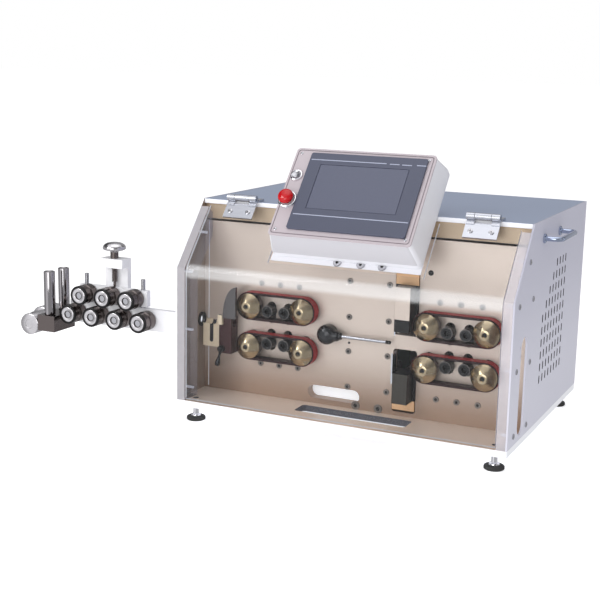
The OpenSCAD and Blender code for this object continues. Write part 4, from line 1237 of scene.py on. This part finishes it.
@dataclass
class FeedUnits:
    """The four belt carriers with their belts, pulleys and coned nuts, in mm."""

    cone_radius: float = 22.2
    cone_height: float = 12.0
    tip_radius: float = 8.4
    key_radius: float = 4.2
    pulley_radius: float = 19.5
    pulley_bore: float = 6.05
    belt_core: float = 20.0
    bolt_half: float = 16.0
    bolt_drop: float = 7.0
    bolt_inset: float = 2.0
    bolt_radius: float = 10.5

    def build(self) -> None:
        """Build each carrier, belt and pulley."""
        for side in ("left", "right"):
            for level, up in (("upper", 1.0), ("lower", -1.0)):
                unit = f"{side}_{level}_"
                body = unit + "carrier"
                dress(body, body, "carrier_metal", 0.6, [BLACK_OXIDE])
                self.build_belt(unit + "belt", body)
                self.build_bolt_rims(unit + "belt", body, up)
                for end in ("outer", "inner"):
                    self.build_pulley(f"{unit}{end}_pulley")

    def build_belt(self, node: str, body: str) -> None:
        """Build one belt, red on its outer face and darkened on its edges and inside as painted shade."""
        low, high = machine_box(node)
        middle = (low + high) / 2.0

        def outer(centre: Vector, normal: Vector) -> int:
            """Return one for a face on the belt's outside."""
            away = (centre.x - middle.x) * normal.x + (centre.z - middle.z) * normal.z
            return int(abs(normal.y) < 0.5 and away > self.belt_core)

        dress(node, body, "belt_rubber", 0.9, [BELT_SHADE, BELT_RED], outer)

    def build_bolt_rims(self, belt: str, body: str, up: float) -> None:
        """Build the lighter rims of a carrier's two big bolts.

        Args:
            belt: the CAD node of the carrier's belt.
            body: the carrier's body.
            up: one for an upper carrier and minus one for a lower one.
        """
        low, high = machine_box(belt)
        x, z = (low.x + high.x) / 2.0, (low.z + high.z) / 2.0 - up * self.bolt_drop
        r, y = self.bolt_radius, low.y + self.bolt_inset
        shape = [
            (r - 1.5, -0.1), (r - 0.3, -0.1), (r - 0.3, 0.2), (r - 0.6, 0.35), (r - 1.2, 0.35), (r - 1.5, -0.1)
        ]
        rims = [
            turned("rim", shape, spot(x + side * self.bolt_half, y, z), FRONT, OXIDE_RIM) for side in (-1, 1)
        ]
        seat(joined(body + "_bolt_rims", rims), body, "carrier_metal")

    def build_pulley(self, node: str) -> None:
        """Build one pulley with its turned brass cone."""
        low, high = machine_box(node)
        back = back_middle(node)
        r, h, b, w = self.cone_radius, self.cone_height, self.pulley_bore, self.pulley_radius
        tip, key = self.tip_radius, self.key_radius
        base = high.y - low.y - h
        wide = base - 0.1
        foot = back + FRONT * base * MM
        parts = [
            turned("wheel", [(b, 0), (w, 0), (w, wide), (b, wide), (b, 0)], back, FRONT, DARK_STEEL),
            turned("cone", [
                (b, 0), (w, 0), (w, 1.1), (r - 0.3, 1.1), (r, 1.4), (r, 2.2), (r - 0.5, 2.8),
                (tip + 0.5, h - 0.4), (tip - 0.4, h), (key + 0.4, h), (key, h - 0.5), (key, h - 3), (0, h - 3),
                (0, h - 4.5), (b, h - 4.5), (b, 0),
            ], foot, FRONT, BRASS, 72),
            # the key socket's floor in black: painted shade
            turned("key", [
                (0, h - 3.1), (key - 0.05, h - 3.1), (key - 0.05, h - 2.6), (0, h - 2.6)
            ], foot, FRONT, SOCKET_SHADE, 6),
        ]
        seat(joined(node + "_dressed", parts), node, "pulley_brass", node)


@dataclass
class CuttingHead:
    """The tool slides, blades and the swinging guide tube, in mm."""

    holder_back: float = 94.0
    holder_step: float = 182.0
    holder_ends: tuple[float, float] = (236.0, 40.0)
    hub_back: float = 95.5
    wire_y: float = 84.0
    wire_z: float = 138.0
    pivot_x: float = 246.0
    tube_end: float = 362.0

    def build(self) -> None:
        """Build the slides, the blades and the guide tube."""
        for level in ("upper", "lower"):
            body = level + "_tool"
            dress(body + "_slide", body, "slide_metal", 0.8, [GOLD, BLACK_OXIDE, HOLDER_DARK, PLATE_METAL],
                  self.tool_finish, (self.holder_step, *self.holder_ends))
            dress(level + "_blade", body, "blade_steel", 0.2, [TOOL_STEEL])
        self.build_tube()

    def tool_finish(self, centre: Vector, normal: Vector) -> int:
        """Return the finish number of a face of a tool: gold end, dark slide, holder or its pale upper face."""
        if centre.y >= self.holder_back - 0.05:
            return int(self.holder_ends[1] < centre.z < self.holder_ends[0])
        if normal.y > -0.9:
            return 1
        return 3 if centre.z > self.holder_step else 1 if centre.z > self.wire_z else 2

    def build_tube(self) -> None:
        """Build the black hub, the collar and the steel tube that leads the wire."""
        hub = turned("hub", [
            (0, -22.4), (8, -22.4), (8, -0.6), (16, -0.6), (17, 0.4), (17, 12.4), (16.6, 15), (15.4, 17.6),
            (13.2, 20), (10, 22), (6.2, 23.3), (2.4, 23.9), (0, 24)
        ], spot(self.pivot_x, self.hub_back, self.wire_z), FRONT, BLACK_GLOSS)
        start = spot(self.pivot_x, self.wire_y, self.wire_z)
        end = self.tube_end - self.pivot_x
        neck = end - 8
        collar = [
            (3.05, 12), (9.6, 12), (9.4, 20), (8.4, 22.4), (6.4, 24), (6, 27), (5, 28), (3.05, 28), (3.05, 12)
        ]
        tube = [(2, 10), (3, 10), (3, neck), (2, neck), (2, 10)]
        tip = [(2, neck), (3, neck), (3, end - 0.6), (2.5, end), (2, end), (2, neck)]
        sleeves = [
            turned(name, shape, start, RIGHT, finish, 32) for name, shape, finish in (
                ("collar", collar, BLACK_GLOSS), ("tube", tube, TURNED_STEEL), ("tip", tip, BLACK_OXIDE)
            )
        ]
        seat(joined("guide_tube_dressed", [hub, *sleeves]), "guide_tube", "tube_metal", "guide_tube")


@dataclass
class InletGuide:
    """The block, column, guard and clamp lever where the wire comes in, in mm."""

    column_left: float = 45.0
    column_front: float = 71.95
    plate_front: float = 96.0
    wire_y: float = 84.0
    wire_z: float = 138.0
    slot_x: float = 26.0
    slot_z: float = 119.0
    slot_half: float = 3.7
    stop_right: float = 53.7
    guard_foot: float = 148.06
    lever: tuple[float, float, float] = (51.0, 68.0, 92.0)
    lever_hub_back: float = 71.5
    lever_turn: float = math.radians(194.0)
    lever_length: float = 27.0

    def build(self) -> None:
        """Build the guide and its lever."""
        dress("inlet_guide", "housing", "inlet_metal", 0.6, [BEIGE, MAROON, GUARD_GREY, VENT_SHADE],
              self.guide_finish)
        self.build_bush()
        self.build_lever()

    def build_bush(self) -> None:
        """Build the bush in the panel where the wire comes in, and a dark sheet at the back of the block's slot
        as painted shade.
        """
        bush = turned("inlet_bush", [
            (7.4, 0.1), (12.8, 0.1), (12.8, 5), (12, 5.8), (8, 5.8), (7.4, 5.2), (7.4, 0.1)
        ], spot(0, self.wire_y, self.wire_z), RIGHT, BLACK_OXIDE)
        seat(bush, "housing", "inlet_metal")
        place = on_front(self.slot_x, self.plate_front, self.slot_z)
        ground = plate_piece("slot_painted_shade", [rounded_outline(6.8, 37.0, 3.2)], place, 0.4, VENT_SHADE)
        seat(ground, "housing", "inlet_metal")

    def guide_finish(self, centre: Vector, normal: Vector) -> int:
        """Return the finish number of a face: block, column, guard or a slot wall in painted shade."""
        if centre.z > self.guard_foot:
            return 2
        if centre.x < self.stop_right and centre.y < self.column_front:
            return 0
        in_slot = abs(centre.x - self.slot_x) < self.slot_half and centre.z < self.wire_z - 0.1
        if in_slot and abs(normal.y) < 0.5:
            return 3
        return int(centre.x > self.column_left + 0.02)

    def build_lever(self) -> None:
        """Build the clamp lever with its hub, rod and knob."""
        x, y, z = self.lever
        hub = turned("hub", [
            (0, -12), (3, -12), (3, -0.05), (5.4, -0.05), (6, 0.5), (6, 6), (5, 7), (0, 7)
        ], spot(x, self.lever_hub_back, z), FRONT, BLACK_OXIDE, 32)
        lean = Vector((math.sin(self.lever_turn), 0, math.cos(self.lever_turn)))
        reach = self.lever_length
        rod = turned("rod", [
            (0, 0), (2.5, 0), (2.2, reach - 12), (3.2, reach - 8), (4.6, reach - 2), (5, reach + 1),
            (4.2, reach + 3.6), (2.2, reach + 4.8), (0, reach + 5)
        ], spot(x, y, z), lean, BLACK_GLOSS, 32)
        seat(joined("clamp_lever_dressed", [hub, rod]), "clamp_lever", "lever_plastic", "clamp_lever")


@dataclass
class Straightener:
    """The white arm with its grooved rollers, slide block and adjusting screw, in mm."""

    roller_radius: float = 18.0
    roller_length: float = 36.0
    rim_radius: float = 13.95
    pin_radius: float = 6.05
    pin_back: float = 99.5
    arm_top: float = 140.5
    screw: tuple[float, float] = (-195.5, 105.75)
    thread: tuple[int, int] = (184, 206)
    knob_height: float = 15.0

    def build(self) -> None:
        """Build the arm, bracket, block, rollers and screw."""
        dress("straightener_arm", "housing", "arm_paint", 1.2, [ARM_WHITE, TURNED_STEEL], self.arm_finish)
        dress("straightener_bracket", "housing", "arm_paint", 4.0, [ARM_WHITE])
        dress("roller_slide_block", "slide_block", "slide_metal", 1.0, [ARM_WHITE, TURNED_STEEL],
              self.block_finish)
        for row, count in (("lower", 4), ("upper", 3)):
            for number in range(1, count + 1):
                self.build_roller(f"{row}_roller_{number}")
        self.build_screw()

    def arm_finish(self, centre: Vector, normal: Vector) -> int:
        """Return the finish number of a face of the arm: white bar or bare pin."""
        return int(centre.z > self.arm_top or centre.y < self.pin_back)

    def block_finish(self, centre: Vector, normal: Vector) -> int:
        """Return the finish number of a face of the block: white block or bare pin."""
        return int(centre.y < self.pin_back)

    def build_roller(self, node: str) -> None:
        """Build one grooved straightening roller with a dark rim, a bright race and a dark hub."""
        r, n = self.roller_radius, self.roller_length
        b, m, i = self.pin_radius, n / 2.0, self.rim_radius
        shapes = (
            ("body", DARK_STEEL, [
                (b, 0), (r - 1, 0), (r, 1), (r, m - 3), (r - 1, m - 1.6), (r - 2.6, m - 0.4),
                (r - 2.6, m + 0.4), (r - 1, m + 1.6), (r, m + 3), (r, n - 4.05), (i - 0.05, n - 4.05),
                (i - 0.05, n - 0.8), (b, n - 0.8), (b, 0)
            ]),
            ("rim", BLACK_OXIDE, [
                (i, n - 4), (r, n - 4), (r, n - 1.6), (r - 0.4, n - 0.6), (r - 1.4, n - 0.1),
                (i + 0.35, n - 0.1), (i, n - 0.5), (i, n - 4)
            ]),
            ("race", TURNED_CHROME, [
                (7.4, n - 0.78), (13.8, n - 0.78), (13.6, n - 0.4), (12.9, n - 0.1), (11.8, n), (10.4, n - 0.1),
                (9.0, n - 0.4), (8.0, n - 0.75), (7.4, n - 0.78)
            ]),
            ("hub", BLACK_OXIDE, [
                (b, n - 0.7), (7.2, n - 0.7), (7.2, n - 0.75), (b, n - 1.6), (b, n - 0.7)
            ]),
        )
        back = back_middle(node)
        parts = [turned(name, shape, back, FRONT, finish) for name, finish, shape in shapes]
        seat(joined(node + "_dressed", parts), node, "chrome", node)

    def build_screw(self) -> None:
        """Build the adjusting screw with its thread, its lock ring and its domed knob."""
        low, high = machine_box("adjusting_screw")
        knob = high.z - self.knob_height
        turns = [
            point for z in range(*self.thread, 2)
            for point in ((5, z), (4.5, z + 0.7), (4.5, z + 1.0), (5, z + 1.7))
        ]
        shaft = [
            (0, low.z), (2.5, low.z), (2.5, 182), (5, 182.6), *turns, (5, 206.2), (5.9, 206.2), (5.9, 208.7),
            (5, 208.7), (5, 226.3), (7.5, 226.3), (7.5, knob - 3), (0, knob - 3)
        ]
        crown = [(radius, knob + rise) for radius, rise in (
            (0, -2.9), (7.5, -2.9), (9, -0.5), (16, 0), (20, 1.6), (21.3, 3.0), (21.5, 4.5), (21.2, 6.6),
            (20.2, 8.8), (18, 11.2), (14.6, 13.2), (10, 14.4), (5, 14.9), (0, 15)
        )]
        foot = spot(*self.screw, 0)
        parts = [turned("shaft", shaft, foot, UP, DARK_STEEL), turned("knob", crown, foot, UP, TURNED_CHROME)]
        seat(joined("adjusting_screw_dressed", parts), "adjusting_screw", "chrome", "adjusting_screw")


@dataclass
class InletRollers:
    """The upright and lying rollers at the wire's entry with their holder, in mm."""

    edge: float = 1.4
    upright: tuple[float, float] = (10.5, 4.05)
    lying: tuple[float, float] = (20.0, 6.05)

    def build(self) -> None:
        """Build the holder and its four rollers."""
        dress("inlet_roller_holder", "housing", "holder_metal", 1.0, [DARK_STEEL])
        for row, out in (("front", FRONT), ("rear", -FRONT)):
            self.build_sleeve(row + "_upright_roller", UP, self.upright, ROLLER_CHROME)
            self.build_sleeve(row + "_lying_roller", out, self.lying, TURNED_CHROME)

    def build_sleeve(self, node: str, out: Vector, radii: tuple[float, float], finish: Finish) -> None:
        """Build one sleeve roller.

        Args:
            node: the CAD node that it stands for.
            out: the axis direction, towards the capped end.
            radii: the radii of the sleeve and of its bore.
            finish: the finish of the sleeve.
        """
        radius, bore = radii
        low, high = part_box(node)
        long = abs((high - low).dot(out)) / MM
        foot = (low + high) / 2.0 - out * long * MM / 2.0
        e = self.edge
        body = turned(node + "_dressed", [
            (bore, 0), (radius - e, 0), (radius - 0.3, e * 0.4), (radius, e), (radius, long - e),
            (radius - 0.3, long - e * 0.4), (radius - e, long), (bore + 3, long), (bore + 2.4, long - 0.8),
            (0, long - 0.8), (0, long - 3), (bore, long - 3), (bore, 0)
        ], foot, out, finish, 64)
        seat(body, node, "chrome", node)


@dataclass
class Studio:
    """The pale floor, the soft lights and the camera, in metres of the row frame."""

    focal_pixels: float = 1201.3
    image_pixels: float = 600.0
    sensor: float = 36.0
    yaw: float = math.radians(25.20)
    pitch: float = math.radians(11.50)
    roll: float = math.radians(1.20)
    camera_spot: tuple[float, float, float] = (1047.5, -1727.5, 599.6)
    floor_half: float = 30.0
    aim: tuple[float, float, float] = (0.0, 0.0, 0.2)
    wall_light: float = 0.62
    panel_blue: float = 1.03
    bearing_light: tuple[tuple[float, float], ...] = (
        (0.00, 0.10), (0.10, 0.08), (0.13, 0.95), (0.23, 0.95), (0.26, 0.40), (0.35, 0.35), (0.40, 0.06),
        (0.54, 0.05), (0.57, 0.80), (0.61, 0.80), (0.64, 0.05), (0.72, 0.35), (0.83, 0.35), (0.88, 0.06)
    )
    height_light: tuple[tuple[float, float], ...] = (
        (0.0, 0.45), (0.2, 0.45), (0.3, 0.0), (0.68, 0.0), (0.80, 1.0), (1.0, 1.0)
    )

    def build(self) -> None:
        """Build the floor, the world light, the lamps and the camera."""
        self.build_floor()
        self.build_world()
        self.build_lamps()
        self.build_camera()
        bpy.context.scene.view_settings.view_transform = "Standard"

    def build_floor(self) -> None:
        """Lay a wide pale floor under the feet."""
        z = CAD_BOX[0][2]
        half = self.floor_half
        mesh = bpy.data.meshes.new("floor")
        corners = [(-half, -half, z), (half, -half, z), (half, half, z), (-half, half, z)]
        mesh.from_pydata(corners, [], [(0, 1, 2, 3)])
        mesh.materials.append(STUDIO_WHITE.material())
        floor = new_piece("floor", mesh)
        floor.visible_glossy = False

    def build_world(self) -> None:
        """Give the room white walls, and dark and bright panels for bright metal to mirror."""
        world = bpy.data.worlds.new("room")
        world.use_nodes = True
        world.node_tree.nodes.clear()
        wiring = Wiring(world.node_tree)
        ray = wiring.add("ShaderNodeLightPath").outputs
        white = (1.0, 1.0, 1.0, 1.0)
        walls, sky, panels = (
            wiring.add("ShaderNodeBackground", Color=colour, Strength=strength).outputs["Background"]
            for colour, strength in ((white, self.wall_light), (white, 1.0), (self.panel_light(wiring), 1.0))
        )
        mirrored = wiring.add("ShaderNodeMixShader", None, (ray["Is Glossy Ray"], walls, panels))
        seen = wiring.add(
            "ShaderNodeMixShader", None, (ray["Is Camera Ray"], mirrored.outputs["Shader"], sky)
        )
        wiring.add("ShaderNodeOutputWorld", Surface=seen.outputs["Shader"])
        bpy.context.scene.world = world

    def panel_light(self, wiring: Wiring) -> bpy.types.NodeSocket:
        """Lay out the bright and dark panels round the room.

        Args:
            wiring: the world's node tree.

        Returns:
            The socket of the panels' colour, by compass bearing and by height.
        """
        places = wiring.add("ShaderNodeTexCoord").outputs["Generated"]
        bearing = wiring.add("ShaderNodeTexGradient", {"gradient_type": "RADIAL"}, Vector=places).outputs["Fac"]
        height = wiring.add("ShaderNodeSeparateXYZ", Vector=places).outputs["Z"]
        return wiring.add(
            "ShaderNodeMix", {"data_type": "RGBA", "blend_type": "LIGHTEN"}, Factor=1.0,
            A=self.ramp(wiring, bearing, self.bearing_light), B=self.ramp(wiring, height, self.height_light),
        ).outputs["Result"]

    def ramp(
        self, wiring: Wiring, value: bpy.types.NodeSocket, stops: Sequence[tuple[float, float]]
    ) -> bpy.types.NodeSocket:
        """Turn a value into a grey by stops.

        Args:
            wiring: the world's node tree.
            value: the socket of the value.
            stops: pairs of position and brightness.

        Returns:
            The socket of the grey.
        """
        node = wiring.add("ShaderNodeValToRGB", Fac=value)
        elements = node.color_ramp.elements
        while len(elements) < len(stops):
            elements.new(0.5)
        for element, (position, light) in zip(elements, stops):
            element.position = position
            element.color = (light, light, light * self.panel_blue, 1.0)
        return node.outputs["Color"]

    def build_lamps(self) -> None:
        """Hang a key light front left, one that reaches into the bay, a fill at the right and one overhead."""
        self.lamp("key", (-1.5, -2.3, 1.75), 1.1, 26.0)
        self.lamp("front", (0.2, -2.8, 0.55), 1.4, 16.0)
        self.lamp("fill", (2.8, -1.0, 1.2), 1.4, 3.0)
        self.lamp("overhead", (0.0, -0.2, 3.0), 2.4, 14.0)

    def lamp(self, name: str, place: tuple[float, float, float], size: float, power: float) -> None:
        """Hang one square soft light that looks at the object.

        Args:
            name: the lamp's name.
            place: where it hangs.
            size: its side length.
            power: its power in watts.
        """
        light = bpy.data.lights.new(name, "AREA")
        light.size = size
        light.energy = power
        lamp = bpy.data.objects.new(name, light)
        lamp.location = place
        lamp.rotation_euler = (Vector(self.aim) - Vector(place)).to_track_quat("-Z", "Y").to_euler()
        bpy.context.scene.collection.objects.link(lamp)

    def build_camera(self) -> None:
        """Set the camera where the photograph was taken from."""
        back = Vector((
            math.sin(self.yaw) * math.cos(self.pitch), -math.cos(self.yaw) * math.cos(self.pitch),
            math.sin(self.pitch),
        ))
        level = Vector((math.cos(self.yaw), math.sin(self.yaw), 0.0))
        upright = back.cross(level)
        right = math.cos(self.roll) * level + math.sin(self.roll) * upright
        up = -math.sin(self.roll) * level + math.cos(self.roll) * upright
        lens = bpy.data.cameras.new("camera")
        lens.sensor_width = self.sensor
        lens.lens = self.focal_pixels * self.sensor / self.image_pixels
        camera = bpy.data.objects.new("camera", lens)
        place = spot(*self.camera_spot)
        camera.matrix_world = Matrix((
            (right.x, up.x, back.x, place.x), (right.y, up.y, back.y, place.y),
            (right.z, up.z, back.z, place.z), (0, 0, 0, 1),
        ))
        bpy.context.scene.collection.objects.link(camera)
        bpy.context.scene.camera = camera


def main() -> None:
    logging.basicConfig(level=logging.INFO, format="%(name)s: %(message)s")
    recipes = Recipes.make()
    assemblies = (
        Housing(recipes), Cover(recipes), Pod(recipes), FeedUnits(), CuttingHead(), InletGuide(),
        Straightener(), InletRollers(), Studio(),
    )
    for assembly in assemblies:
        LOG.info("building %s", type(assembly).__name__)
        assembly.build()


if __name__ == "__main__":
    main()
